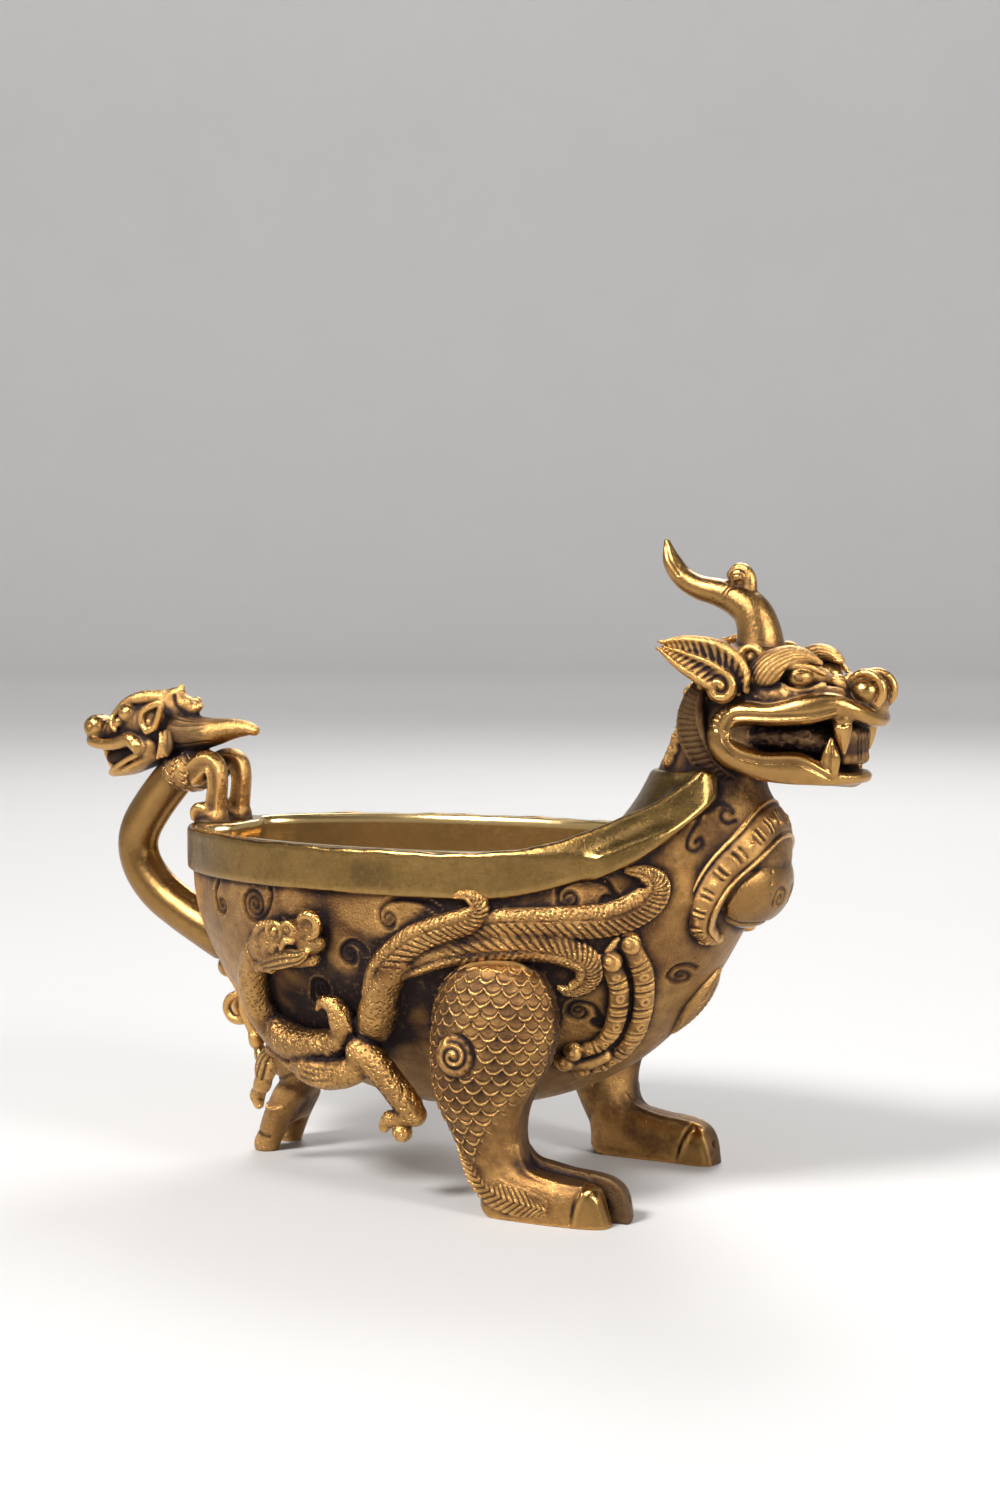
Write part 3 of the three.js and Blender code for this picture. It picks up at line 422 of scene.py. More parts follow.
def scroll_gap(points, routes, reach):
    """Distance from points of the cup to the nearest chased line, up to a reach."""
    gap = np.full(len(points), reach)
    for route in routes:
        inside = np.flatnonzero(((points > route.min(0) - reach) & (points < route.max(0) + reach)).all(1))
        if len(inside):
            a, run = route[:-1], np.diff(route, axis=0)
            far = points[inside, None] - a[None]
            t = np.clip((far * run).sum(2) / (run**2).sum(1), 0, 1)
            gap[inside] = np.minimum(gap[inside], np.linalg.norm(far - t[:, :, None] * run, axis=2).min(1))
    return gap


def hollow_ring(angle, t, height):
    """Ring of the hollow's wall. A ledge under the handle's feet thickens the rear of the rim."""
    c, s = np.cos(angle), np.sin(angle)
    full = math.sqrt(1 - (1 - t) ** 1.85)
    blunt = np.where(c > 0, 0.77, 1)
    reach = np.where(c > 0, MOUTH_FRONT, CUP_REAR - CUP_WALL)
    x = CUP_MIDDLE + reach * full * np.sign(c) * np.abs(c) ** blunt
    y = (CUP_HALF - CUP_WALL) * full * np.sign(s) * np.abs(s) ** blunt
    above = step(RIM - LEDGE_DEPTH, RIM - 2, height) * (c < 0)
    ledge = LEDGE_LENGTH * np.exp(-((y / LEDGE_HALF) ** 4)) * above
    return np.stack([x + ledge, y, np.full_like(x, height)], 1)


def ring_quads(grid):
    """Faces between rings of points, whose numbers are the rows of a grid."""
    right = np.roll(grid, -1, 1)
    return np.stack([grid[:-1], right[:-1], right[1:], grid[1:]], 2).reshape(-1, 4)


def cast_cup(depth):
    """Outside, rim and hollow of the cup as rows of rings, with chased scrolls on both flanks."""
    columns, levels = int(CUP_COLUMNS / COARSE), int(CUP_LEVELS / COARSE)
    fine = np.linspace(0, 2 * math.pi, 8000)
    sweep = np.stack([np.where(np.cos(fine) > 0, CUP_FRONT, CUP_REAR) * np.cos(fine),
                      CUP_HALF * np.sin(fine)], 1)
    run = np.concatenate([[0], np.cumsum(np.linalg.norm(np.diff(sweep, axis=0), axis=1))])
    angle = np.interp(np.linspace(0, run[-1], columns, endpoint=False), run, fine)
    c, s = np.cos(angle), np.sin(angle)
    heights = CUP_FOOT + (RIM - 0.7 - CUP_FOOT) * np.linspace(1e-4, 1, 4000)
    run = np.concatenate([[0], np.cumsum(np.hypot(np.diff(cup_reach(heights)[2]), np.diff(heights))
                                         * np.interp(heights[1:], [28, 34], [0.3, 1]))])
    heights = np.interp(np.linspace(0.004, 1, levels) * run[-1], run, heights)
    front, rear, side = (v[:, None] for v in cup_reach(heights))
    x = CUP_MIDDLE + np.where(c > 0, front, rear) * c
    outer = np.stack([x, side * s, np.broadcast_to(heights[:, None], x.shape)], 2)
    around = np.roll(outer, -1, 1) - np.roll(outer, 1, 1)
    normal = unit(np.cross(around, np.gradient(outer, axis=0)))
    routes = [on_flank(*smooth(r, 4 * len(r)).T) for r in FLANK_SCROLLS]
    routes += [r * (1, -1, 1) for r in routes]
    gap = scroll_gap(outer.reshape(-1, 3), routes, 1.2)
    cut = depth * ridge(gap, 0.42) - 0.3 * depth * ridge(gap - 0.85, 0.3)
    outer = outer - normal * cut.reshape(outer.shape[:2])[:, :, None]

    top = outer[-1] * (1, 1, 0)
    mouth = hollow_ring(angle, 1, RIM)
    flat = np.array([0, 0, RIM])
    inward = unit(mouth * (1, 1, 0) - top)
    rim = [top + inward * 0.25 + flat - (0, 0, 0.2), top + inward * 0.8 + flat]
    width = np.linalg.norm(mouth * (1, 1, 0) - top, axis=1, keepdims=True)
    rim += [top + inward * (0.8 + (width - 1.4) * k) + flat for k in (0.35, 0.7, 1)]
    depths = np.linspace(0, 1, int(HOLLOW_LEVELS / COARSE)) ** 0.7
    floor = CUP_FOOT + CUP_FLOOR
    inner = [hollow_ring(angle, 1, RIM - d) for d in (0.35, 2, 4, 6, 8)]
    inner += [hollow_ring(angle, max(1 - k, 0.002), CUP_SHOULDER - (CUP_SHOULDER - floor) * k)
              for k in depths]
    rows = np.concatenate([outer, rim, inner])
    points = np.vstack([rows.reshape(-1, 3), [[CUP_MIDDLE, 0, CUP_FOOT], [CUP_MIDDLE, 0, floor]]])
    grid = np.arange(len(rows) * columns).reshape(-1, columns)
    right = np.roll(grid, -1, 1)
    quads = ring_quads(grid)
    foot, bottom = len(points) - 2, len(points) - 1
    fans = [[foot, b, a] for a, b in zip(grid[0], right[0])]
    fans += [[bottom, a, b] for a, b in zip(grid[-1], right[-1])]
    blank = np.zeros(len(points))
    marks = {"relief": blank.copy(), "sheen": blank.copy(), "line": blank + HATCH_PITCH / 2,
             "lined": blank + 1}
    marks["line"][: gap.size] = np.minimum(gap * 0.9, HATCH_PITCH / 2)
    marks["relief"][: gap.size] = 0.9 * ridge(gap - 0.9, 0.35) - 0.6 * ridge(gap, 0.45)
    marks["sheen"][gap.size:-2] = 1
    marks["sheen"][-1] = 1
    return points, [*quads.tolist(), *fans], marks


def neck_distance(x, y, z):
    """Distance to the neck, whose foot spreads to the cup's outline."""
    rise = np.clip(z - RIM, 0, NECK_RISE)
    t = rise / NECK_RISE
    spread = np.clip(1 - t / 0.42, 0, 1) ** 2.2
    length = 8 + 3.2 * (1 - t) + 1.8 * (1 - t) ** 4 + 2 * spread
    width = 8.6 + 2.6 * (1 - t) + 8 * (1 - t) ** 3 + 9 * spread
    u = x - NECK_X - NECK_LEAN * t
    column = oval((u, y), (length, width))
    wall = wall_distance(x, y) - 0.25 + 0.75 * step(RIM - 1, RIM - 6, z)
    return np.maximum(column, wall - 9 * (z >= RIM + 14))


def wall_distance(x, y):
    """Distance to the upright wall below the rim, seen from above."""
    u = x - CUP_MIDDLE
    reach = np.where(u > 0, CUP_FRONT, CUP_REAR)
    return oval((u, y), (reach, CUP_HALF))


def clay_band():
    """Rim band, its tongues that climb the neck, and the collar that they form round the nape."""
    clay = Clay((-60, -36.5, 56), (61, 0, 82.5), 0.36, half=True)
    part, (x, y, z) = clay.everywhere()
    rise = BAND_CLIMB * np.maximum(0, x - CUP_MIDDLE - BAND_CLIMB_START) ** 2
    low = RIM - BAND_HEIGHT + rise + 0.02 * np.maximum(0, x - 46) ** 2
    pinch = 1 - BAND_PINCH * np.maximum(0, z - RIM)
    wall = wall_distance(x, y / pinch)
    uneven = 0.12 * np.sin(x * 0.31 + 0.7) + 0.08 * np.sin(x * 0.83 + y * 0.2)
    strip = np.maximum(np.abs(wall - (BAND_PROUD - BAND_INLET) / 2) - (BAND_PROUD + BAND_INLET) / 2,
                       np.maximum(low - z, z - RIM - rise - uneven))
    strip = np.maximum(strip, x - 58)
    collar = np.maximum(np.maximum(neck_distance(x, y, z) - 1.1, low - z),
                        z - COLLAR_TOP - 0.3 * (x - 50) / 8)
    collar = np.maximum(collar, x - 57.5 + 0.25 * np.maximum(0, z - 72))
    clay.add(part, strip, sheen=0.55)
    clay.add(part, np.maximum(collar, 58 - z), 4, sheen=0.55)
    clay.field = blur(blur(clay.field, 1), 1) - 0.05
    return clay


def clay_neck():
    """Neck with a row of scales down each side of the nape and scrolls on the breast."""
    clay = Clay((34, -28, 48), (70.5, 0, 98), 0.34, half=True)
    part, (x, y, z) = clay.everywhere()
    body = np.maximum(neck_distance(x, y, z), np.maximum(RIM - 8 - z, z - RIM - NECK_RISE))
    clay.add(part, body)
    clay.ball(SWELL + (0, 0, 1.1), SWELL_RADII - (0, 0, 1.3), 3)
    clay.roughen((53, -8, 84), (16, 14, 14), 0.05)
    for k in np.linspace(0, 1, 8):
        centre = clay.settle([[51.2 - 2.8 * k, -7.6 - 1.4 * k, 95 - 13.5 * k]])[0]
        clay.ball(centre + (0, 0, 0.3), (1.5, 1, 1.5), 0.3)
        clay.chase([centre + (-1.4, -0.3, 0.6), centre + (0, -0.9, -1.6), centre + (1.4, -0.3, 0.6)],
                   0.3, 0.35)
    arch = [(61.6, -10, 71.6), (60.2, -11, 71.2), (59.2, -11.5, 72.4), (60.2, -11, 73.8),
            (61.6, -10.4, 73.2), (61.2, -10.6, 74.4), (59.2, -11.5, 75), (56.7, -12.5, 73.8),
            (55, -14, 71.4), (53.8, -15, 69), (53.9, -15.6, 67.2), (55.6, -15.4, 66.4), (57, -14.6, 67.4),
            (56.4, -14.4, 68.6), (55.4, -14.8, 68)]
    clay.chase(arch, 0.45, 0.5)
    return clay


def lengthwise(spread):
    """Lines that follow a ribbon."""
    return lambda place, v, share: (spread * v, step(0.02, 0.12, share) * step(0.99, 0.9, share))


def circle(centre, radius, count=14, first=0.0, last=360.0):
    """Points of a round in an upright plane that faces the beast's side."""
    turn = np.radians(np.linspace(first, last, count))
    x, y, z = centre
    return [(x + radius * math.cos(a), y, z + radius * math.sin(a)) for a in turn]


def brow_hatch(place, v, share):
    """Fine hair drawn along a brow."""
    inside = 0.62 * step(0.02, 0.12, share) * step(0.99, 0.9, share) * step(0.98, 0.85, np.abs(v))
    return 4.3 * v + 0.12 * place, inside


def clay_skull():
    """Upper head: cranium, muzzle, polished lip, brows, eyes, nose and fangs."""
    clay = Clay((48, -17.5, 80), (88.5, 0, 106), 0.25, half=True)
    clay.ball((61.5, 0, 95.6), (11, 10.4, 8))
    muzzle = [(56, 0, 92.5, 10.4, 6), (64, 0, 92.6, 10.8, 5), (71, 0, 92.4, 9.8, 4.2), (77, 0, 92, 8, 3.6),
              (82, 0, 91.6, 5, 3.4)]
    clay.ribbon(muzzle, (0, 0, 1), 1.2)
    clay.rope([(62, -9.6, 93.8, 2.3), (68, -10.2, 94, 2.2), (74, -8.8, 94.2, 2), (79, -6.4, 94, 1.7)], 1)
    clay.ball((60.6, -8.6, 87.4), (4.8, 4.4, 6), 1.2, sheen=0.6)
    clay.roughen((66, -8, 97), (15, 9, 8), 0.07)
    lip = [(85, 0, 89.7, 1.3, 1.5), (84.4, -3.2, 90.1, 1.4, 1.5), (82.3, -6.6, 91.4, 1.6, 1.6),
           (79, -8.9, 92.4, 2.3, 1.8), (74.5, -10.7, 91.7, 2.6, 1.9), (68.5, -11.7, 90.8, 2.1, 1.9),
           (63, -12.3, 90.9, 2.1, 1.9), (60, -12.5, 89.4, 2.2, 1.8), (59.2, -12.5, 87.2, 2.3, 1.8)]
    clay.ribbon(lip, lambda p: unit(p[:, :3] - (66, 0, 90.5)) * (0.25, 1, 0), 0.7, sheen=0.9)
    for k in np.linspace(0, 1, 9):
        tip = math.radians(112 + 112 * k)
        ray = [(62.4 + r * math.cos(tip), -14.4 + 0.24 * r, 88.2 + 1.15 * r * math.sin(tip))
               for r in (3, 4.2, 5.4)]
        clay.chase(ray, 0.36, 0.5)
    for lift, depth in ((0.1, -0.25), (0.95, 0.6)):
        clay.chase([(62.4 - lift, -14.6, 88), (63.4 - 0.6 * lift, -14.4, 89.5 + lift),
                    (70.3, -13.8, 89.5 + lift), (76.3, -12.8, 89.8 + lift), (80, -10.8, 91 + 0.8 * lift)],
                   0.4, depth)
    brow = [(65.4, -10.6, 95.8, 1.6, 1.4), (66.5, -11, 97.6, 2.9, 2), (68.5, -10.6, 99.5, 3, 2.1),
            (71.4, -9.2, 100.9, 2.3, 1.7), (74, -7.8, 100.8, 1.4, 1.3), (75.8, -6.6, 99.8, 0.6, 0.8)]
    clay.ribbon(brow, (0.15, -0.85, 0.45), 0.3, lines=brow_hatch)
    clay.rope([(*p, 0.8) for p in circle((64.4, -10.4, 100.7), 1.9, 14, -70, 250)], 0.2, sheen=0.2)
    clay.ball((64.4, -10, 100.7), 1.1, 0.15, sheen=0.4)
    clay.cut(*clay.blob((73.2, -9.6, 97.1), (3.8, 2.6, 2.8)), 0.5)
    clay.ball((73, -8.7, 97.3), (2.4, 2.4, 2.1), 0.15, sheen=0.8)
    clay.ball((73.4, -10.9, 97.4), 0.6, 0.1, sheen=-0.6)
    clay.rope([(69.9, -10.4, 98.5, 0.5), (72, -10.3, 99.3, 0.6), (74.7, -9, 99.2, 0.6),
               (76.8, -7.4, 98, 0.5)], 0.25)
    clay.rope([(69.8, -10.7, 96, 0.5), (72.4, -10.6, 95.1, 0.55), (75, -9.6, 95.2, 0.5),
               (77, -8, 96.2, 0.45)], 0.25)
    clay.rope([(72, 0, 96.8, 3), (77, 0, 94.6, 2.3), (81.5, 0, 94.2, 2.4)], 1)
    clay.ball((83, -2.6, 94.7), (2.7, 2.6, 2.6), 0.3, sheen=0.9)
    ring = [(83.2 + 3.2 * math.cos(a), -3.2 - 0.5 * math.cos(a), 95 + 3.1 * math.sin(a), 0.8)
            for a in np.radians(np.linspace(-45, 205, 14))]
    clay.rope(ring, 0.2, sheen=0.6)
    clay.ball((83.8, 0, 92.2), (2.6, 4.2, 2.4), 0.8)
    clay.rope([(80, -4.6, 93.6, 1), (79.2, -4.6, 95.4, 1.1), (78.4, -4, 96.4, 1.5)], 0.3)
    clay.rope([(80.4, -7.8, 90.4, 1.75), (80.5, -8.1, 88.4, 1.7), (80.7, -8, 86.2, 1.1),
               (80.8, -7.9, 84.2, 0.35)], 0.2, sheen=1)
    clay.chase([(78.6, -9.4, 89.6), (80.4, -10.2, 89.2), (82.2, -9, 89.6)], 0.36, 0.5)
    clay.chase([(80.9, -9.9, 88.8), (81, -9.4, 86.6), (80.9, -8.8, 84.8)], 0.3, -0.35)
    return clay


def clay_jaw():
    """Lower jaw with its polished lip, the filling of the mouth painted dark with patina and painted shade,
    tusks and front teeth.
    """
    clay = Clay((50, -16.5, 74.5), (86, 0, 92), 0.25, half=True)
    filling = [(57, 0, 87, 11, 3.6), (66, 0, 87, 11, 3.6), (74, 0, 86.2, 9.4, 3.6), (79, 0, 85.2, 6.4, 3.8)]
    # The filling that closes the mouth is painted dark: patina and the painted shade of an open mouth.
    clay.ribbon(filling, (0, 0, 1), 0.6, sheen=-0.8)
    clay.roughen((68, -8, 87), (16, 9, 6), 0.16)
    # The front teeth are painted dark: painted shade in the recess behind the lips.
    clay.rope([(80.6, 0, 86.8, 1.9), (80.6, -3, 86.8, 1.9), (79.6, -5, 86.6, 1.7)], 0.4, sheen=-0.5)
    clay.rope([(81.6, 0, 83, 1.3), (81.2, -2.4, 83, 1.3), (80, -4.4, 83, 1.2)], 0.4, sheen=-0.5)
    for side in (-0.9, -2.7, -4.4):
        clay.chase([(84, side, 89), (84, side, 86), (84, side, 82)], 0.4, 0.6)
    jaw = [(56, 0, 84.4, 10.8, 3.8), (62, 0, 83, 11, 3.4), (69, 0, 81.6, 9.6, 2.6), (75, 0, 80, 7.4, 2.2),
           (80, 0, 79.2, 4.6, 1.7)]
    clay.ribbon(jaw, (0, 0, 1), 0.7)
    clay.ball((60.6, -8.6, 86.2), (4.8, 4.4, 5.4), 1.2, sheen=0.6)
    lip = [(59.2, -12.5, 87.2, 2.3, 1.8), (59.6, -12.6, 85.2, 2.4, 1.8), (62, -12.5, 83.4, 2.5, 1.8),
           (67, -11.7, 81.7, 2.6, 1.8), (73, -9.9, 81.3, 2.9, 1.7), (76.6, -8, 80.2, 2, 1.5),
           (79.4, -5.7, 79.5, 1.3, 1.3), (81.6, -2.6, 79.5, 1.1, 1.2), (82.2, 0, 79.5, 1.1, 1.2)]
    clay.ribbon(lip, lambda p: unit(p[:, :3] - (66, 0, 84)) * (0.25, 1, 0), 0.7, sheen=0.9)
    for drop, depth in ((0.1, -0.25), (0.95, 0.6)):
        clay.chase([(62.4 - drop, -14.6, 87.6), (61.9 - drop, -14.6, 86.4),
                    (63.4 - 0.6 * drop, -14.4, 84.9 - drop), (67.5, -13.8, 83.8 - drop),
                    (72.9, -12.4, 84 - drop), (75.8, -10.8, 82.6 - drop), (78.8, -8.4, 80 - 0.6 * drop)],
                   0.4, depth)
    tusk = [(78.2, -7.6, 80.6, 1.5, 0.9), (78.3, -7.8, 83.4, 1.7, 1), (78.4, -7.7, 86.6, 0.4, 0.4)]
    clay.ribbon(tusk, (0.2, -1, 0), 0.2, crown=lambda place, v, share: -0.4 * ridge(v, 0.15), sheen=1)
    return clay


def clay_ruff():
    """Hatched crescent round the throat."""
    clay = Clay((48, -17, 74), (70, 0, 97.5), 0.26, half=True)
    half = [(54.8, -10.6, 95.6, 1.1, 1), (53.9, -11.8, 92.6, 1.9, 1.2), (53.7, -12.4, 89.2, 2.5, 1.3),
            (54.6, -12.4, 85.8, 2.7, 1.3), (56.2, -11.4, 82.4, 2.4, 1.3), (58.4, -9, 79.8, 1.7, 1.2),
            (60.4, -5, 78.6, 1.1, 1.1), (61, 0, 78.2, 1, 1)]
    rim = lambda place, v, share: 0.45 * ridge(np.abs(v) - 0.86, 0.14)
    hatch = lambda place, v, share: (place + 0.5 * v, step(0.8, 0.7, np.abs(v)))
    # The crescent is painted dark: patina, and painted shade where it lies behind the cheek.
    clay.ribbon(half, lambda p: unit((p[:, :3] - (60, 0, 89)) * (0.5, 1, 0.2)), 0.4, crown=rim, lines=hatch,
                sheen=-0.7)
    return clay


def clay_horn():
    """Horn: rises, sweeps back and turns up to a grooved tip, with a scroll knob on its bend."""
    clay = Clay((40, -6.5, 98), (70, 0, 124.5), 0.26, half=True)
    line = [(62.6, 0, 99.6, 5.6), (62.5, 0, 102.4, 4.6), (62.2, 0, 105.6, 4), (61, 0, 108.6, 3.6),
            (58.4, 0, 110.8, 3.2), (54.5, 0, 112.3, 2.6), (50.6, 0, 113.3, 2.25), (47.4, 0, 115.2, 2),
            (45.3, 0, 118.2, 1.7), (44.3, 0, 121.7, 0.6)]
    clay.rope(line, 0.8, sheen=0.5)
    knob = [(60.3, 0, 112.6, 1.5), (60.4, 0, 114.6, 1.3), (59.6, 0, 116.2, 1.2), (58.2, 0, 116.6, 1.1),
            (57, 0, 115.6, 1)]
    clay.rope(knob, 0.3, sheen=0.3)
    clay.ball((58.5, 0, 115), (1.9, 2.2, 1.9), 0.2, sheen=0.5)
    clay.chase(circle((58.5, -2, 115), 1.1), 0.28, 0.45)
    clay.chase(circle((58.5, -1.4, 115), 2, 14, 20, 300), 0.28, 0.4)
    clay.chase([(47.2, -2, 115.6), (45.2, -1.8, 118.4), (44.5, -1.2, 121)], 0.3, 0.35)
    clay.chase([(59.5, -2, 114.2), (57.4, -2.8, 113.4), (56.4, -2.4, 111.4)], 0.35, 0.4)
    return clay


def clay_ear():
    """Leaf-shaped ear with a raised rim, ribs that leave a midrib, and a volute at its foot."""
    clay = Clay((46, -20.5, 90.5), (66, -8, 106), 0.23)
    leaf = [(62.6, -12.4, 95, 1.8, 1.1), (61.6, -13.6, 97.4, 3.5, 1.2), (58.8, -14.8, 99.6, 4, 1.2),
            (55, -15.8, 101.2, 3.2, 1.1), (52, -16.4, 102.2, 2, 0.9), (49.6, -16.9, 102.9, 0.5, 0.5)]

    def crown(place, v, share):
        w = np.abs(v)
        return 0.5 * step(0.6, 0.9, w) - 0.45 * step(0.75, 0.3, w) + 0.5 * ridge(v, 0.14)

    ribs = lambda place, v, share: (place - 2.2 * np.abs(v),
                                    step(0.85, 0.7, np.abs(v)) * step(0.1, 0.2, np.abs(v)))
    clay.ribbon(leaf, (-0.15, -0.95, 0.25), 0.3, crown=crown, lines=ribs)
    turn = np.linspace(0, 2 * math.pi * 1.4, 16)
    curl = [(60 + (0.5 + 0.33 * a) * math.cos(a + 0.6), -14.9 + 0.03 * a,
             95.6 + (0.5 + 0.33 * a) * math.sin(a + 0.6), 0.75) for a in turn]
    clay.ball((60.1, -13.9, 95.6), (3, 0.9, 3), 0.4)
    clay.rope(curl, 0.15, sheen=0.5)
    clay.rope([(60.6, -11.4, 97, 1.9), (60.8, -9, 97, 2.2)], 0.5)
    return clay


def breast_at(y, z):
    """Points of the breast, where it is furthest forward."""
    y, z = np.asarray(y, float), np.asarray(z, float)
    front, _, side = cup_reach(np.minimum(z, RIM))
    hull = CUP_MIDDLE + front * np.sqrt(np.maximum(1 - (y / side) ** 2, 0))
    bulge = 1 - (y / SWELL_RADII[1]) ** 2 - ((z - SWELL[2]) / SWELL_RADII[2]) ** 2
    swell = SWELL[0] * (bulge > 0) + SWELL_RADII[0] * np.sqrt(np.maximum(bulge, 0))
    return np.stack([np.maximum(hull, swell), y, z], 1)


def breast_ring_plan():
    """Rows of the ring round the boss, and the line of the crease between them."""
    plan = np.array([(4.4, 70.2, 4.1, 1.5), (0, 71, 4.2, 1.5), (-4.4, 70.2, 4.1, 1.6),
                     (-8.8, 67.2, 3.8, 1.7), (-12.2, 62.4, 3.4, 1.8), (-13.7, 57.2, 3.1, 1.9),
                     (-12.8, 53, 2.8, 1.9), (-10.8, 50.8, 2.1, 1.7), (-9.2, 50, 1.3, 1.3)])
    y, z = plan[:, 0], plan[:, 1]
    lift = 0.8 * step(54, 50, z) - step(60, 70, z) - 0.2
    rows = np.hstack([breast_at(y, z) + np.outer(lift, (1, 0, 0)), plan[:, 2:]])
    ahead = np.gradient(rows[:, :3], axis=0)
    inward = unit(np.cross(ring_up(rows), ahead))
    crease = rows[:, :3] + inward * (plan[:, 2:3] + 0.25)
    return rows, np.vstack([crease[1:-1], [(64, -4, 51.4), (64.6, 0, 51.2)]])


def ring_up(rows):
    """Directions away from the breast."""
    return unit((rows[:, :3] - SWELL) / SWELL_RADII**2)


def clay_boss():
    """Domed boss with a chased scroll on each side."""
    clay = Clay((50, -13.5, 50), (70.5, 0, 70), 0.27, half=True)
    clay.ball(BOSS, BOSS_RADII, sheen=0.3)
    clay.chase(breast_ring_plan()[1], 0.6, 0.8, spread=3)
    for turn in np.radians(np.linspace(20, 130, 6)):
        spot = BOSS + 8.4 * np.array([0.8, -0.75 * math.sin(turn), 0.6 * math.cos(turn)])
        clay.chase([spot, spot + (0, 0.05, 0.05), spot + (0, 0.1, 0.1)], 0.34, 0.4)
    spin = np.linspace(0, 2 * math.pi * 1.6, 18)
    spiral = [BOSS + (8, -3 + (0.3 + 0.2 * a) * math.cos(a), -2.8 + (0.3 + 0.24 * a) * math.sin(a))
              for a in spin]
    clay.chase(spiral, 0.36, 0.55)
    return clay


def clay_ring():
    """Horseshoe band round the boss, with a raised border and bars in threes about a dot."""
    clay = Clay((50, -19, 44), (71.5, 0, 79), 0.25, half=True)
    rows = breast_ring_plan()[0]

    def crown(place, v, share):
        border = 0.35 * ridge(np.abs(v) - 0.84, 0.09) - 0.28 * ridge(np.abs(v) - 0.68, 0.07)
        beat = np.mod(place + 1.2, 6.2) - 3.1
        bow = np.abs(beat) - 0.9 * v * v
        bars = 0.24 * np.cos((bow - 0.5) * 2 * math.pi / 0.95) * step(0.75, 1, bow) * step(2.6, 2.3, bow)
        dot = 0.4 * np.exp(-(beat**2 + (3 * v) ** 2) / 0.25)
        return border + bars * step(0.42, 0.34, np.abs(v)) + dot

    clay.ribbon(rows, ring_up, 0.3, crown=crown)
    clay.ball(rows[-1, :3] + (0.2, 0.2, 0.2), (1.5, 1.6, 1.3), 0.4)
    return clay


def clay_leaf():
    """Leaf on the breast, below the boss."""
    clay = Clay((40, -7.5, 27), (62, 0, 46), 0.28, half=True)
    z = np.array([31, 33.6, 36.8, 40, 42.8])
    x = CUP_MIDDLE + cup_reach(z)[0]
    rows = np.stack([x - 0.4, 0 * z, z, [1, 3.4, 4.4, 3.4, 1], [1.1, 1.7, 2, 1.7, 1]], 1)
    crown = lambda place, v, share: -0.45 * ridge(v, 0.1) + 0.2 * step(0.6, 0.85, np.abs(v))
    veins = lambda place, v, share: (place + 3 * np.abs(v), step(0.8, 0.6, np.abs(v)))
    clay.ribbon(rows, (1, 0, -0.6), 0.4, crown=crown, lines=veins, sheen=0.4)
    return clay


SHANK = np.array([[3, 26, 5.6, 25.5], [6, 24.4, 5.9, 25.6], [10.2, 22.4, 6.3, 26.1],
                  [14.9, 20.9, 7.1, 26.9], [20, 20.3, 8.7, 27.7], [26, 21.3, 10.6, 28.3],
                  [33, 22.7, 11.8, 28.6], [39.5, 23, 11.1, 28.6], [43.5, 23.4, 9, 28.6],
                  [45.6, 23.7, 6.4, 28.6], [46.7, 23.8, 3.4, 28.6], [47.1, 23.8, 0.8, 28.6]])
FOOT = np.array([[19.4, 3.8, 4.4], [22.4, 5.3, 9], [29, 5.8, 10], [36, 5.8, 9], [41.2, 6, 8.6],
                 [44.6, 6, 7.6], [46.4, 5.4, 6.2], [47, 4.6, 4.4]])


def scales(u, v):
    """Height of overlapping scales, and distance to the line in each rim; u and v count scales and rows."""
    n = np.floor(v)

    def drop(row):
        across = np.mod(u + 0.5 * np.mod(row, 2), 1) - 0.5
        return v - row + 0.95 * np.sqrt(np.maximum(1 - (1.96 * across) ** 2, 0.01))

    upper = drop(n + 1)
    edge = np.where(upper > 0, upper, drop(n))
    relief = 0.28 - 0.16 * edge + 0.26 * ridge(edge - 0.13, 0.12) - 0.34 * step(0.09, 0, edge)
    # At the lower edge of each scale the line jumps across zero, which draws a painted shadow line where
    # the scale lies over the row below.
    return relief, np.clip((edge - 0.36) * SCALE_ROW, -HATCH_PITCH / 2, HATCH_PITCH / 2)


def seat_on_cup(clay, depth=0.9):
    """Takes away what would pass through the wall of the cup."""
    _, (x, y, z) = clay.everywhere()
    front, rear, side = cup_reach(np.maximum(z, CUP_FOOT + 0.2))
    reach = np.where(x > CUP_MIDDLE, front, rear)
    inside = (1 - np.sqrt(((x - CUP_MIDDLE) / reach) ** 2 + (y / side) ** 2)) * np.minimum(side, reach)
    clay.field = np.maximum(clay.field, inside - depth)


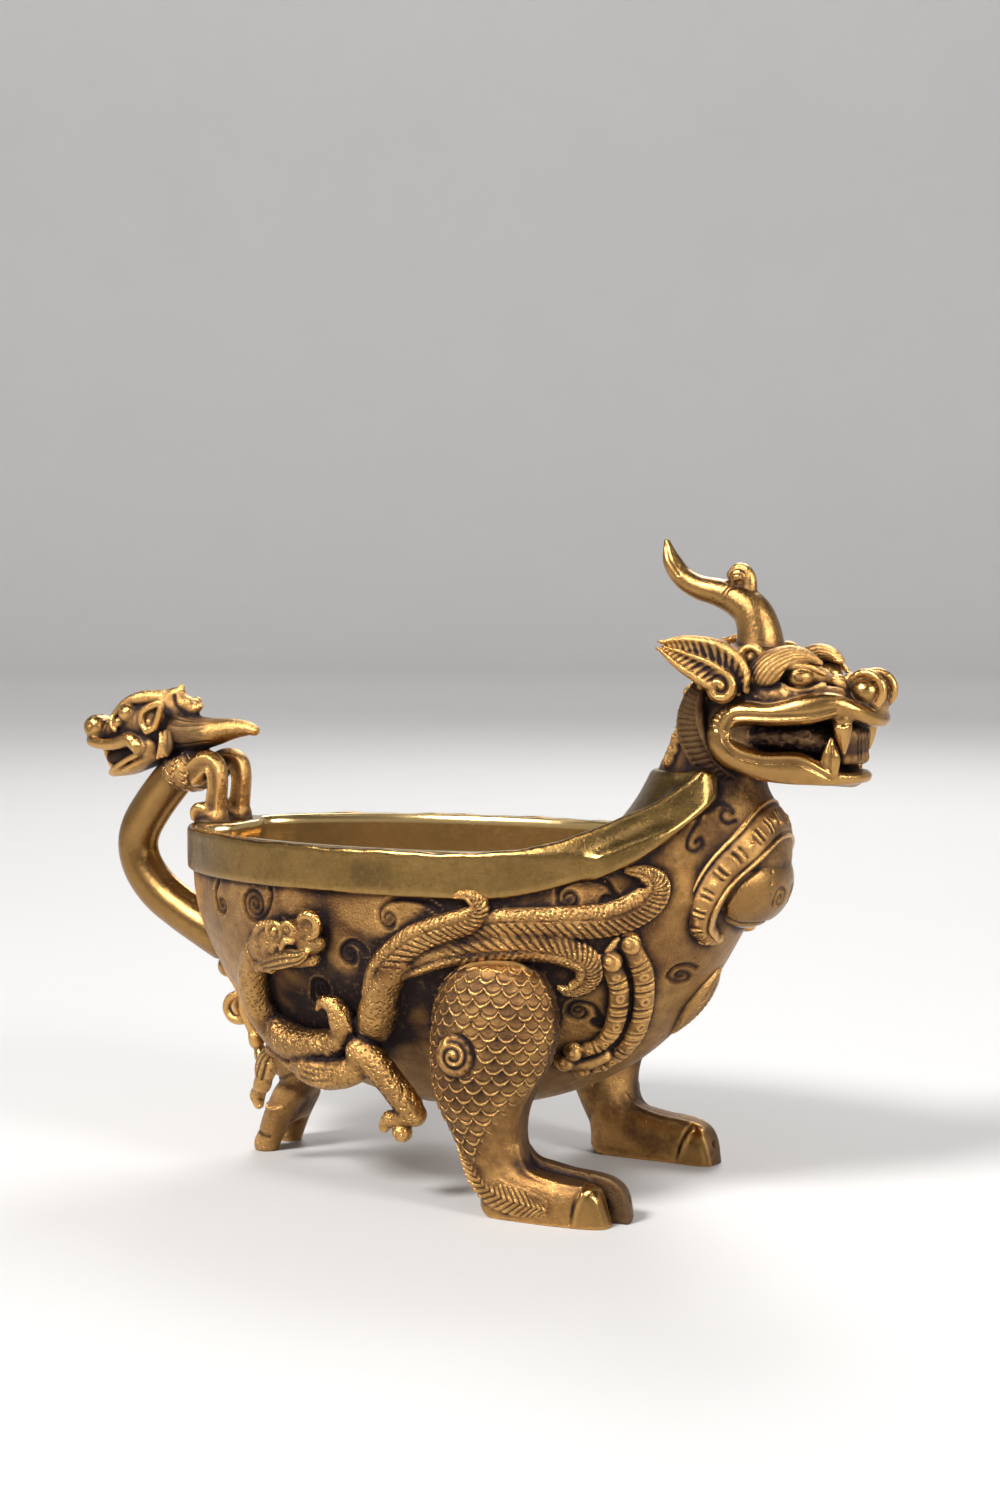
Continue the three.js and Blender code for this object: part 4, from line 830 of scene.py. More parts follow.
def clay_front_leg():
    """Right front leg: scaled thigh with a coiled curl, smooth shin, chased heel and two hoofed toes."""
    clay = Clay((7.5, -41.5, -0.6), (49.5, -16, 48.5), 0.25)
    part, (x, y, z) = clay.everywhere()
    rows = smooth(SHANK, 120)
    height, centre, length, out = (rows[:, k] for k in range(4))
    u, v = x - np.interp(z, height, centre), y + np.interp(z, height, out)
    half = np.interp(z, height, length)
    width = np.maximum(8.6 * (0.3 + 0.7 * half / 11.8) * step(48, 46, z), 0.5)
    column = oval((u, v), (half, width))
    turn = np.arctan2(u / half, -v / width)
    around = turn * (half + width) / 2 / SCALE_WIDTH
    shin = step(0.5, 0, turn - np.interp(z, [8, 13, 19, 26, 30], [-0.7, -0.2, 0.45, 1.3, 3]))
    scaled = shin * step(8, 10, z + 1.5 * turn) * step(47, 45.5, z)
    relief, line = scales(around + 0.2, (z - 1.2 * np.cos(turn)) / SCALE_ROW)
    column = column - scaled * relief
    clay.add(part, np.maximum(np.maximum(column, 3 - z), z - 47), line=line, lined=scaled)

    rows = smooth(FOOT, 60)
    wide, high = (np.interp(x, rows[:, 0], rows[:, k]) for k in (1, 2))
    lift = np.maximum(z - 0.36 * high, 0) / (0.64 * high)
    bulk = (np.abs((y + 25.5) / wide) ** 2.7 + lift**2.7) ** (1 / 2.7)
    foot = round_max((bulk - 1) * np.minimum(wide, high) * 0.8, np.maximum(19.6 - x, x + 0.12 * z - 47.2),
                     2.5)
    foot = np.maximum(foot, 0.5 * (22.6 - x) - z)
    near_toe = y < -25.4
    trim = round_max(round_max(foot, (x + 0.3 * z - 45) * 0.9, 2.5), (0.3 * (x - 39.5) - y - 31.6) * 0.9, 2)
    foot = np.where(near_toe, round_max(trim, (z + 0.12 * (x - 36) - 8.2) * 0.9, 2), foot)
    gap = np.maximum(np.abs(y + 25.4) - 0.3 - 0.07 * np.maximum(x - 39.6, 0),
                     (9.6 - 2.6 * (x - 39.4) - z) / 2.8)
    clay.add(part, foot, 2.4)
    clay.cut(part, gap, 0.8)
    top = step(-1.6, -0.6, z - high) * step(26, 29, x) * step(4.8, 3.8, np.abs(y + 25.5))
    instep = step(1.1, 1.4, turn) * step(2.05, 1.75, turn) * step(20, 14, z) * step(26, 28, x)
    cleft = step(1.3, 0.7, np.abs(y + 25.4)) * step(39.5, 41, x)
    claw = step(-22.4, -21.4, y) * step(-0.3, 0.3, x - 39.4 - 0.28 * z)
    claw = claw * step(0.3, -0.3, x - 46.2 + 0.28 * z)
    nail = near_toe * step(-0.3, 0.3, x - 38.5 - 0.22 * z) * step(-26, -27, y)
    nail = np.maximum(nail, claw)
    # The top and the instep of the foot are painted with dark patina, the cleft between the toes with
    # painted shade, and the nails are polished.
    clay.sheen[part] = nail - 0.75 * np.maximum(np.maximum(top, instep), cleft) * (1 - nail)
    near_nail = [(38.6, -31.4, 0.8), (39.2, -31.2, 4), (40, -30.4, 6.6), (41.2, -28.4, 7.6),
                 (42.2, -26.8, 7.4)]
    far_nail = [(39.2, -19.6, 0.6), (40.4, -19.6, 4.5), (41.6, -19.9, 8)]
    for edge in (near_nail, far_nail):
        clay.chase(edge, 0.36, 0.4)
        clay.chase(np.array(edge) + (0.9, 0, 0.1), 0.45, -0.35)
    clay.chase([(46.2, -20.4, 0.6), (45, -20.3, 4.5), (43.8, -20.4, 8)], 0.45, -0.35)
    for edge in ([(26.5, -28.6, 13), (30.6, -30, 10.6), (36, -30.2, 8.6), (40, -29.6, 7.8)],
                 [(28, -22, 12.6), (33, -21, 11), (38, -20.8, 10), (44, -21.2, 8.4)]):
        clay.chase(edge, 0.45, -0.3)
    for spot in ((46.6, -22.2, 4.2), (46.9, -20.9, 2.4)):
        clay.cut(*clay.blob(spot, (0.8, 0.7, 0.8)), 0.3)
    clay.chase([(13, -27, 19), (16, -28, 13.4), (18.8, -28.4, 8.6), (20.8, -29, 5)], 0.4, -0.4)
    heel = [(16.8, -30, 13.2, 0.8, 0.4), (17.8, -31, 9.6, 1.9, 0.5), (20.8, -31.2, 6.4, 2.6, 0.6),
            (25.4, -31.2, 4.4, 2.7, 0.6), (30, -31.2, 3.4, 2.4, 0.6), (34, -31.2, 2.8, 1.4, 0.4)]
    ribs = lambda place, v, share: (place + 2.2 * np.abs(v), step(1, 0.9, np.abs(v)))
    clay.ribbon(np.hstack([clay.settle(heel), np.array(heel)[:, 3:]]), (-0.2, -1, 0.1), 0.4, lines=ribs,
                crown=lambda place, v, share: 0.18 * ridge(v + 0.1, 0.1))

    eye = np.array([18.7, -36.4, 30.2])
    clay.cut(*clay.blob(eye + (0, -1.8, 0), (4.9, 2.6, 5)), 0.4)
    clay.ball(eye + (0, 0.3, 0), (3.9, 1.9, 3.9), 0.15)
    spin = np.linspace(0, 2 * math.pi * 1.7, 30)
    reach = 0.55 + 0.235 * spin
    coil = np.stack([eye[0] + reach * np.cos(spin - 2.4), np.full(30, eye[1] - 1.4),
                     eye[2] + reach * np.sin(spin - 2.4)], 1)
    clay.chase(coil, 0.46, 0.85, spread=3)
    for a in np.radians(np.linspace(-80, 200, 10)):
        clay.chase([eye + (r * math.cos(a), -0.9, r * math.sin(a)) for r in (3.3, 3.4, 3.5)], 0.34, 0.35)
    clay.level(0)
    seat_on_cup(clay)
    return clay


def clay_rear_leg():
    """Rear leg: a short shank on a small cloven foot."""
    clay = Clay((-46, -11, -0.6), (-22, 0, 28), 0.3, half=True)
    part, (x, y, z) = clay.everywhere()
    rows = smooth([[5, -37.6, 3, 4.4], [9, -36.3, 3.3, 4.7], [14, -33.9, 4.3, 5.8], [20, -31.8, 6, 7.6],
                   [27, -31, 6.6, 8.3]], 60)
    centre, length, width = (np.interp(z, rows[:, 0], rows[:, k]) for k in (1, 2, 3))
    u = x - centre
    column = oval((u, y), (length, width))
    clay.add(part, np.maximum(np.maximum(column, 6 - z), z - 27))
    clay.rope([(-35.6, -3.4, 11, 3.2), (-37.6, -4, 7, 2.9), (-39, -4.4, 3.4, 2.6), (-39.9, -4.6, 1.2, 2.6)],
              1)
    clay.rope([(-36, -1.2, 10, 2.4), (-36.4, -2, 7, 2)], 0.8)
    clay.ball((-34, -4.6, 19.4), (4.6, 3.6, 5.2), 1.5, sheen=0.4)
    clay.chase([(-38.6, -2, 17), (-37.6, -6, 15), (-33.4, -8.6, 14.6), (-29.6, -8, 16)], 0.5, 0.4)
    clay.chase([(-39.4, -2.4, 9.4), (-38.4, -6, 8.8), (-35.4, -6.6, 9.4)], 0.5, -0.4)
    clay.chase([(-41, -2.6, 5), (-41.6, -4.6, 4.4), (-40, -6.8, 3.6), (-37.6, -7, 3)], 0.3, 0.5)
    clay.chase([(-42.4, -4.6, 3.8), (-42.8, -4.7, 2), (-42.6, -4.8, 0.2)], 0.3, 0.4)
    clay.level(0)
    seat_on_cup(clay)
    return clay


def plume(clay, rows, hand, turn=1.7, lift=0.2):
    """Tail plume: a smooth raised band on one side of a groove, and a hatched web on the other."""

    def crown(place, v, share):
        w = hand * v
        band = 0.22 * ridge(w - 0.66, 0.26) - 0.34 * ridge(w - 0.22, 0.09)
        return band + 0.12 * ridge(w + 0.9, 0.12)

    def hatch(place, v, share):
        w = hand * v
        web, band = step(0.16, 0.06, w), 0.4 * step(0.3, 0.4, w) * step(0.95, 0.85, w)
        line = np.where(w < 0.23, place + turn * w, 1.25 * place - turn * w)
        return line, (web + band) * step(0.1, 0.18, share)

    clay.ribbon(drawn(rows, lift), flank_up, 0.25, crown=crown, lines=hatch)


def snout_up(rows):
    """Turns rows of x, height and sizes about the middle of the dragon's head."""
    rows = np.array(rows, float)
    u, w = rows[:, 0] - DRAGON_HEAD[0], rows[:, 1] - DRAGON_HEAD[1]
    c, s = math.cos(DRAGON_TILT), math.sin(DRAGON_TILT)
    rows[:, 0], rows[:, 1] = DRAGON_HEAD[0] + c * u - s * w, DRAGON_HEAD[1] + s * u + c * w
    return rows


def clay_dragon():
    """Right flank dragon: head, looped neck, crest hook, limbs, and three plumes of its tail."""
    clay = Clay((-41, -42.5, 9.5), (56, -7, 67), 0.29)
    plume(clay, [(6, 44.2, 2, 1.1), (14.6, 47.6, 2.5, 1.3), (25.8, 49.4, 2.8, 1.5), (34.2, 49, 2.9, 1.5),
                 (38.6, 46.6, 2.8, 1.5), (38.2, 43.2, 2.4, 1.4), (35.4, 41.2, 1.4, 1.1),
                 (33.6, 41.6, 0.5, 0.8)], 1, -1.7)
    plume(clay, [(8, 46.4, 2.2, 1), (15.4, 50.6, 2.6, 1.1), (23.9, 53.2, 2.8, 1.4),
                 (33.8, 53.8, 3, 1.5), (42.7, 54.4, 3.2, 1.6), (48.4, 57, 3.2, 1.6), (50.4, 60.4, 2.7, 1.5),
                 (48.6, 62.8, 1.6, 1.2), (46, 63.2, 0.6, 0.8)], -1)
    plume(clay, [(-0.6, 38.6, 2.8, 1.4), (2.4, 44.4, 2.9, 1.6), (8.6, 49.6, 2.8, 1.7),
                 (14.4, 52.2, 2.6, 1.7), (19.4, 54, 2.5, 1.7), (21.4, 56.6, 2, 1.5), (19.6, 58.6, 1.2, 1.2),
                 (17, 58.4, 0.5, 0.8)], -1, 1.7, 0.9)

    body = drawn([(-13, 28.4, 2.6), (-7.5, 27, 3), (-3.4, 31.4, 3.6), (-0.6, 36.6, 3.7), (2, 41.6, 3.2),
                  (6, 45.4, 2.2)], -0.2)
    clay.rope(body, 0.5)
    neck = drawn([(-27, 44.6, 3), (-29.4, 40, 3.2), (-30.4, 34.6, 3.5), (-28.4, 29.6, 3.7),
                  (-23.4, 26.9, 3.6), (-16.8, 26.6, 3.4), (-10.6, 28, 3.1)], 1.4, hang=True)
    clay.rope(neck, 0.4, sheen=0.2)
    clay.rope(drawn([(-11.4, 27, 2.6), (-8.6, 30, 2.9), (-8.4, 33.2, 2.7), (-9.8, 36, 1.8),
                     (-12, 36.4, 1.2), (-13.8, 34.8, 0.5)], 2, hang=True), 0.3)
    clay.chase(drawn([(-6.8, 26.4), (-6, 30), (-6, 33), (-7.4, 36)], 4, hang=True), 0.4, -0.6)
    thigh = drawn([(-20.2, 23.4, 1.4, 1.4), (-17.4, 22.8, 2.7, 2.6), (-12.4, 22.4, 3, 2.9),
                   (-7, 23.6, 2.8, 2.8), (-3.4, 26.4, 2.6, 2.6)], 3.2, hang=True)
    clay.ribbon(thigh, (0, -1, 0), 0.15)
    for k, z in enumerate((21.4, 23, 24.4)):
        clay.chase(drawn([(-18 + k, z - 0.2), (-14, z - 0.4), (-10, z)], 7, hang=True), 0.4, 0.4)
    clay.rope(drawn([(-4.6, 27.6, 3), (-1.4, 25.4, 2.9), (2.2, 21.8, 2.7), (5.2, 18.4, 2.7),
                     (6.6, 16.8, 2.2)], 3.2, hang=True), 0.3)
    for k in range(7):
        x, z = -1.6 + 1.05 * k, 23.4 - 1.05 * k
        clay.chase(drawn([(x - 0.4, z), (x - 0.6, z - 1), (x - 0.2, z - 2.2)], 5.6, hang=True), 0.36, 0.45)
    clay.rope(drawn([(6.2, 16.8, 2.1), (3.6, 15.8, 1.8), (1.4, 15.4, 1.6), (0.4, 14, 1.1)], 3.4, hang=True),
              0.3)
    clay.ball(drawn([(4.2, 13.4)], 3.6, hang=True)[0, :3], 1.9, 0.3)
    clay.rope(drawn([(-17, 21.6, 1.3), (-22, 22.4, 1.3), (-26.4, 24, 1.35), (-28.6, 24.6, 1.5)],
                    1.8, hang=True), 0.3)
    bud = drawn([(-28.4, 24.4, 1, 1), (-30.2, 22.4, 2.2, 1.9), (-31.8, 19.4, 2.4, 2),
                 (-33, 16.8, 1.3, 1.4)], 1.4, hang=True)
    clay.ribbon(bud, (-0.3, -1, 0.1), 0.3, lines=lengthwise(2))
    clay.rope(drawn([(-32.4, 17.4, 1.8), (-32.9, 16.4, 1.8)], 1.4, hang=True), 0.2)
    clay.rope(drawn([(-33.2, 15.8, 1.2), (-34.6, 14, 1.6), (-34.2, 12.4, 1.1)], 1.6, hang=True), 0.3)

    clay.roughen((-8, -30, 30), (34, 20, 22), 0.05)
    head = lambda x, z, lift: on_flank(*snout_up([(x, z)])[0], lift)
    face = lambda rows, lift: drawn(snout_up(rows), lift)
    clay.ball(head(-21.6, 47.2, 1.4), (6, 3.2, 4.2), 0.4)
    clay.rope(face([(-21, 48.4, 3.2), (-15.5, 49, 2.7), (-11.4, 49.6, 2)], 2), 0.4)
    clay.rope(face([(-20.6, 45.8, 2.6), (-16, 44.6, 2.2), (-13.6, 43.8, 1.5)], 1.6), 0.3)
    # A ball painted dark fills the mouth: painted shade of the open mouth.
    clay.ball(head(-13.2, 46.8, 1.8), (3.4, 2.2, 2.2), 0.3, sheen=-0.4)
    clay.rope(face([(-13.4, 50.8, 0.9), (-11.8, 51.8, 1.1), (-10.2, 51.6, 1.1), (-9.4, 50.4, 1),
                    (-9.9, 48.8, 0.9)], 3), 0.2, sheen=0.6)
    clay.rope(face([(-12, 47.8, 0.7), (-10.6, 48, 0.7), (-9.6, 48.6, 0.6)], 3.2), 0.2, sheen=0.5)

    def swirl(x, z, lift, r, tube, first=0, last=360):
        turn = np.radians(np.linspace(first, last, 14))
        places = [head(x + r * math.cos(a), z + r * math.sin(a), lift) for a in turn]
        clay.rope([(*place, tube) for place in places], 0.12, sheen=0.5)

    swirl(-18.7, 50.1, 4.6, 1.7, 0.6)
    clay.ball(head(-18.7, 50.1, 4.4), 1.05, 0.1, sheen=0.8)
    swirl(-15.6, 50, 4.4, 1.3, 0.55, -60, 220)
    clay.ball(head(-15.6, 50, 4), 0.9, 0.1, sheen=0.7)
    clay.rope(face([(-25.4, 49.6, 0.8), (-23, 51.2, 1.1), (-20.6, 51.6, 0.9)], 3.2), 0.2)
    for k in range(4):
        x = -26 + 2.6 * k
        clay.rope(face([(x, 45.8 + 0.3 * k, 0.5), (x + 1.6, 47.4 + 0.2 * k, 0.8), (x + 3.2, 47.6, 0.5)],
                       4.3 + 0.15 * k), 0.12)
    flame = face([(-25.6, 44.2, 1, 0.8), (-22, 44.8, 2.1, 1.2), (-18, 45, 2.2, 1.3), (-15, 44.8, 1.6, 1.1),
                   (-12.4, 45.4, 0.5, 0.7)], 3.8)
    clay.ribbon(flame, flank_up, 0.15, lines=lengthwise(2), sheen=0.4)
    swirl(-29.6, 44.4, 2.6, 1.8, 0.8)
    clay.ball(head(-29.6, 44.4, 2.2), 1.1, 0.1, sheen=0.5)
    clay.rope(face([(-27.4, 44.9, 1.3), (-25.4, 44.2, 1.5), (-23.6, 43.4, 1.2)], 3), 0.2)
    clay.rope(face([(-26.2, 46.6, 0.8), (-27.2, 45.4, 0.9), (-27, 43.6, 0.8)], 3.6), 0.12)
    seat_on_cup(clay)
    return clay


def clay_straps():
    """Pair of right breast straps with bars about dots, round upper ends and a ringed knot."""
    clay = Clay((28, -36, 19), (50.5, -8, 53.5), 0.24)

    def crown(place, v, share):
        beat = np.mod(place + 0.6, 4.6) - 2.3
        bars = 0.2 * np.cos((np.abs(beat) - 1.1) * 2 * math.pi / 0.95) * step(0.7, 0.9, np.abs(beat))
        dot = 0.3 * np.exp(-((beat**2 + (1.6 * v) ** 2) ** 0.5 - 0.55) ** 2 / 0.06)
        return (bars + dot) * step(1, 0.8, np.abs(v)) * step(0.03, 0.08, share) * step(1, 0.95, share)

    def round_at(x, z, r, lift):
        turn = np.radians(np.linspace(0, 360, 12))
        return [on_flank(x + r * math.cos(a), z + r * math.sin(a), lift) for a in turn]

    outer = [(46.2, 48.4, 1.9, 1), (46.9, 43.8, 2.1, 1), (45.4, 36.8, 2.1, 1), (41.8, 30, 2, 1),
             (37, 26, 1.8, 1), (33.4, 24.6, 1.5, 1)]
    inner = [(42.8, 45.4, 1.8, 1), (43, 41, 1.9, 1), (41, 34.4, 1.9, 1), (38, 30.4, 1.7, 1),
             (34.6, 28.8, 1.5, 1)]
    for rows, top in ((outer, (45.8, 50)), (inner, (42.6, 46.8))):
        clay.ribbon(drawn(rows, 0.6), flank_up, 0.25, crown=crown)
        clay.ball(on_flank(*top, 0.5), (2.2, 1.6, 2.2), 0.4)
        clay.chase(round_at(*top, 0.85, 1.9), 0.26, 0.45)
        clay.chase(round_at(*top, 1.7, 1.6), 0.22, 0.3)
        for k in range(3):
            x, z = top[0] - 2.4 - 0.5 * k, top[1] - 0.8 - 0.7 * k
            clay.rope([(*on_flank(x + 0.6, z + 1.6, 0.3), 0.5), (*on_flank(x, z + 0.8, 0.5), 0.6),
                       (*on_flank(x + 0.4, z, 0.2), 0.4)], 0.2)
    for place, size in (((33.2, 28.8), 1.9), ((33, 24.8), 1.8), ((31.2, 26.8), 2)):
        clay.ball(on_flank(*place, 0.8), (size, 1.6, size), 0.3)
        clay.chase(round_at(*place, 0.6, 2), 0.22, 0.4)
        clay.chase(round_at(*place, 1.4, 1.8), 0.22, 0.4)
    clay.rope(drawn([(37.4, 27.6, 1.4), (34.6, 26.4, 1.6), (32, 26.2, 1.4)], 0.4), 0.4)
    return clay


def clay_stem():
    """Round stem of the handle, with a crease along its inner side."""
    clay = Clay((-80, -6, 38), (-48, 0, 80), 0.32, half=True)
    line = smooth([(-51, 0, 40.6, 4.4), (-56.1, 0, 43.3, 4.4), (-62.7, 0, 46.8, 4.3), (-68.1, 0, 50.4, 4.3),
                   (-72, 0, 54.8, 4.2), (-73.6, 0, 59.4, 4.1), (-72.8, 0, 63.8, 4.1), (-69.8, 0, 68.6, 4),
                   (-65.8, 0, 73.4, 3.9), (-63, 0, 76.4, 3.7)], 30)
    clay.rope(line, 0.5, sheen=0.7, spread=2)
    ahead = np.gradient(line[:, :3], axis=0)
    inner = line[:, :3] + 3.5 * unit(np.stack([ahead[:, 2], 0 * ahead[:, 1], -ahead[:, 0]], 1))
    clay.rope(np.hstack([inner, np.full((30, 1), 1.3)])[2:-2], 0.4, sheen=0.7, spread=2)
    seat_on_cup(clay)
    return clay


def clay_handle_head():
    """Head of the handle dragon: ball nose, brows, ringed ears, crest, hatched mane and back horn."""
    clay = Clay((-88, -11, 69), (-42, 0, 96), 0.25, half=True)
    clay.ball((-69.6, 0, 85.2), (7, 5.4, 5.2))
    clay.rope([(-70, 0, 85, 4.8), (-75, 0, 84, 3.8), (-80, 0, 83.2, 2.2)], 1)
    lip = [(-84.6, 0, 81.8, 1.1), (-83, -2.4, 81.4, 1.2), (-79, -3.5, 81, 1.2), (-75.4, -4, 81.4, 1.4),
           (-72, -4.8, 82.2, 1.6), (-69.6, -5, 80.8, 1.7)]
    clay.rope(lip, 0.5, sheen=0.7)
    clay.ball((-83, -0.9, 84.4), (2.8, 2.7, 2.6), 0.3, sheen=0.7)
    clay.chase(circle((-83.4, -4, 84.6), 0.7, 10), 0.35, 0.5)
    clay.ball((-82.6, -1, 82.4), (2.4, 2, 1.4), 0.4)
    clay.ball((-73.2, -3.7, 87.6), (2.1, 1.9, 1.9), 0.3, sheen=0.6)
    clay.rope([(-77, -2.4, 87.4, 0.9), (-74, -2.8, 89.6, 1.2), (-70, -2.8, 90.8, 1.5), (-66, -2, 91, 1.4)],
              0.6)
    clay.rope([(-77.6, -2.8, 86.8, 0.6), (-77.4, -3.6, 85.2, 0.6), (-76, -4.4, 84.2, 0.6)], 0.2)
    clay.ball((-75.4, -4, 85.7), (1.2, 1, 1.1), 0.12, sheen=0.6)
    clay.ball((-65.6, -5.2, 86.9), (2.4, 1.5, 2.7), 0.4, sheen=-0.35)
    ear = [(-66.6, -6.6, 84.2), (-67.9, -6.5, 86), (-67.4, -6.7, 88.2), (-65.4, -6.9, 89.3),
           (-62.9, -6.8, 90), (-63.5, -6.8, 87.6), (-64.6, -6.7, 85.2), (-66.6, -6.6, 84.2)]
    clay.rope([(*p, 0.75) for p in ear], 0.15, sheen=0.3)
    clay.ball((-66, -6.4, 86), (0.9, 0.7, 0.9), 0.15)
    jaw = [(-66.6, 0, 79.2, 4.8, 1.9), (-70.4, 0, 77.8, 4.2, 1.7), (-75, 0, 75.8, 3.2, 1.3),
           (-79, 0, 74.8, 2, 0.8)]
    clay.ribbon(jaw, (-0.4, 0, 1), 0.6)
    clay.rope([(-70.4, -4.6, 79.2, 0.7), (-73.6, -3.8, 77.9, 0.65), (-77.4, -2.7, 76, 0.6),
               (-79.4, -1, 74.9, 0.6), (-79.8, 0, 74.6, 0.6)], 0.3, sheen=0.7)
    clay.rope([(-81.2, 0, 81, 1.2), (-80.6, 0, 78.4, 0.9), (-79.6, 0, 75.8, 0.6)], 0.3)
    # A rope painted dark fills the mouth: painted shade of the open mouth.
    clay.rope([(-69, 0, 79.8, 3.2), (-73.4, 0, 79.3, 2.4), (-77, 0, 78.6, 1.9), (-79.6, 0, 78, 1.3)],
              0.3, sheen=-0.9)
    clay.ball((-68, -3.2, 80.9), (3.4, 2.5, 2.8), 0.5)
    for k in np.linspace(0, 1, 9):
        a = math.radians(-60 + 120 * k)
        clay.chase([(-71 + r * math.cos(a), -6.6, 80.6 + r * math.sin(a)) for r in (1.4, 2.5, 3.8)],
                   0.24, 0.4)
    for k in range(3):
        clay.rope([(-65 + 1.1 * k, -5, 78.8 + 0.3 * k, 0.5), (-63.6 + 1.1 * k, -5.9, 81.2, 0.65),
                   (-63.8 + 1 * k, -5.6, 84, 0.45)], 0.12)

    mane = [(-66.5, 0, 85, 5.4, 5), (-60.5, 0, 83.6, 5.3, 4.2), (-55.5, 0, 83.9, 4.2, 3.1),
            (-50.5, 0, 84.7, 2.7, 2.2), (-46.6, 0, 84.9, 1.7, 1.5), (-45, 0, 84.5, 1.3, 1.1)]
    strands = lambda place, v, share: (6 * np.abs(v) + 0.1 * place,
                                       step(0.5, 0.36, share) * step(0.1, 0.2, share))
    clay.ribbon(mane, (0, 0, 1), 0.5, lines=strands)
    part, (x, y, z) = clay.window((-64, -9, 79), (-52, 0, 90))
    clay.sheen[part] -= 0.7 * step(-63.4, -62, x) * step(-53, -57, x) + 0 * y + 0 * z
    clay.ball((-65.6, 0, 88.6), (4.6, 3.6, 3.4), 1)
    clay.rope([(-67, 0, 89.8, 2), (-64.6, 0, 91, 1.8), (-62.9, 0, 92.2, 1.2), (-62.4, 0, 93, 0.7)], 1.2)
    clay.rope([(-63, 0, 88, 2.6), (-60.2, 0, 88.2, 1.7), (-57.9, 0, 89.2, 0.7)], 1)
    clay.ball((-62.4, 0, 89.6), (3, 2.2, 2), 0.8)
    clay.chase([(-63, -1.8, 91.6), (-62, -2.4, 89.4), (-59.6, -2.2, 87.6)], 0.4, 0.45)

    part, (x, y, z) = clay.window((-69, -9, 69), (-50, 0, 83))
    chest = oval((x + 60, y, z - 76.2), (6.2, 5.6, 4.5))
    scaled = step(-54, -56, x + 0 * y + 0 * z)
    relief, line = scales((-x - 0.35 * z) / 2.3, (z + 0.5 * x) / 1.9 + 0 * y)
    clay.add(part, chest - 0.8 * scaled * relief, 0.5, line=line, lined=scaled)
    return clay


def clay_foreleg():
    """Right foreleg of the handle dragon: an arched limb with a bright ridge, and a toed paw on the rim."""
    clay = Clay((-60.5, -9.5, 64.5), (-44.5, -0.5, 83), 0.23)
    limb = [(-57, -3.6, 75.6, 2.8, 1.9), (-54.6, -4.1, 77.5, 2.9, 1.9), (-52, -4.4, 77.5, 2.5, 1.9),
            (-51, -4.5, 75, 2.1, 1.8), (-51.2, -4.5, 71.4, 2.1, 1.8), (-51.7, -4.4, 68.2, 2.4, 1.9)]
    edge = lambda place, v, share: 0.4 * ridge(np.abs(v) - 0.6, 0.22) - 0.25 * ridge(v, 0.25)
    clay.ribbon(limb, (0, -1, 0), 0.4, crown=edge, sheen=0.3)
    clay.ribbon([(-50.8, -4.4, 67.2, 2.5, 1.7), (-52.8, -4.5, 67.6, 2.4, 1.9),
                 (-54.4, -4.6, 67.7, 2.1, 1.7)], (0, 0, 1), 0.5)
    for side in (-6, -4.6, -3.2):
        toe = [(-53, side, 68.8, 1), (-54.6, side, 69, 1.05), (-55.6, side, 68.2, 0.95),
               (-55.8, side, 66.9, 0.7)]
        clay.rope(toe, 0.2, sheen=0.4)
    # A flat pad painted dark under the paw: painted shadow where the paw stands on the rim.
    clay.ball((-52.4, -4.4, 66.2), (3.8, 2.9, 1.1), 0.5, sheen=-0.6)
    return clay


def clay_tail_scroll():
    """Scrolls under the handle: a hatched leaf, a bead, a curl, and strands with a knot and a bud."""
    clay = Clay((-57, -8, 14), (-34, 0, 50), 0.27, half=True)
    wall = lambda z, lift=0.0: CUP_MIDDLE - float(cup_reach(np.asarray(float(z)))[1]) - lift
    leaf = [(wall(47), -3.2, 48.2, 0.8, 0.8), (wall(45, 0.3), -3.4, 46, 2.6, 1.3),
            (wall(42, 0.5), -3, 42.6, 2.9, 1.5), (wall(39, 0.6), -2.4, 39.4, 1.6, 1.2),
            (wall(37, 0.6), -2, 37.6, 0.7, 0.8)]
    clay.ribbon(leaf, (-1, -0.35, -0.2), 0.4, lines=lengthwise(2.6))
    clay.ball((wall(36.3, 2.2), -1.6, 36.3), (2.4, 2.3, 2.4), 0.2, sheen=0.8)
    clay.rope([(wall(39, 0.4), -1, 38.6, 1.2), (wall(36, 0.6), -1, 36, 1.6),
               (wall(33, 1.6), -0.8, 33, 1.2)], 0.4)
    strand = [(wall(40, 0.2), -3.6, 40, 1.2), (wall(36, 0.4), -4.2, 36, 1.3),
              (wall(32, 1), -3.8, 31.6, 1.3), (-45.6, -3.2, 27.6, 1.3), (-44.2, -2.8, 24, 1.2),
              (-43.6, -2.6, 22, 1.1)]
    clay.rope(strand, 0.4)
    clay.rope([(wall(38, 0.6), -0.4, 38, 1.4), (wall(33, 0.8), 0, 33, 1.6), (wall(29, 0.6), 0, 29, 1.8),
               (-43, 0, 25, 1.8), (-41.6, 0, 22, 1.6)], 0.8)
    curl = [(-48, -1.8, 30.8, 0.8), (-50.2, -1.8, 29.6, 0.9), (-50.9, -1.8, 27.5, 0.95),
            (-49.6, -1.8, 25.6, 1), (-47.4, -1.8, 25.4, 1.1), (-45.4, -1.8, 26.6, 1.1)]
    clay.rope(curl, 0.3, sheen=0.3)
    clay.rope([(-43.6, -2.6, 22.4, 1.6), (-43.4, -2.6, 21.4, 1.6)], 0.2)
    clay.ribbon([(-43.2, -2.4, 21, 0.9, 0.9), (-42.4, -2.2, 18.2, 2, 1.5), (-41.4, -2, 15.4, 0.4, 0.5)],
                (-1, -0.4, 0), 0.2, lines=lengthwise(1.6))
    return clay


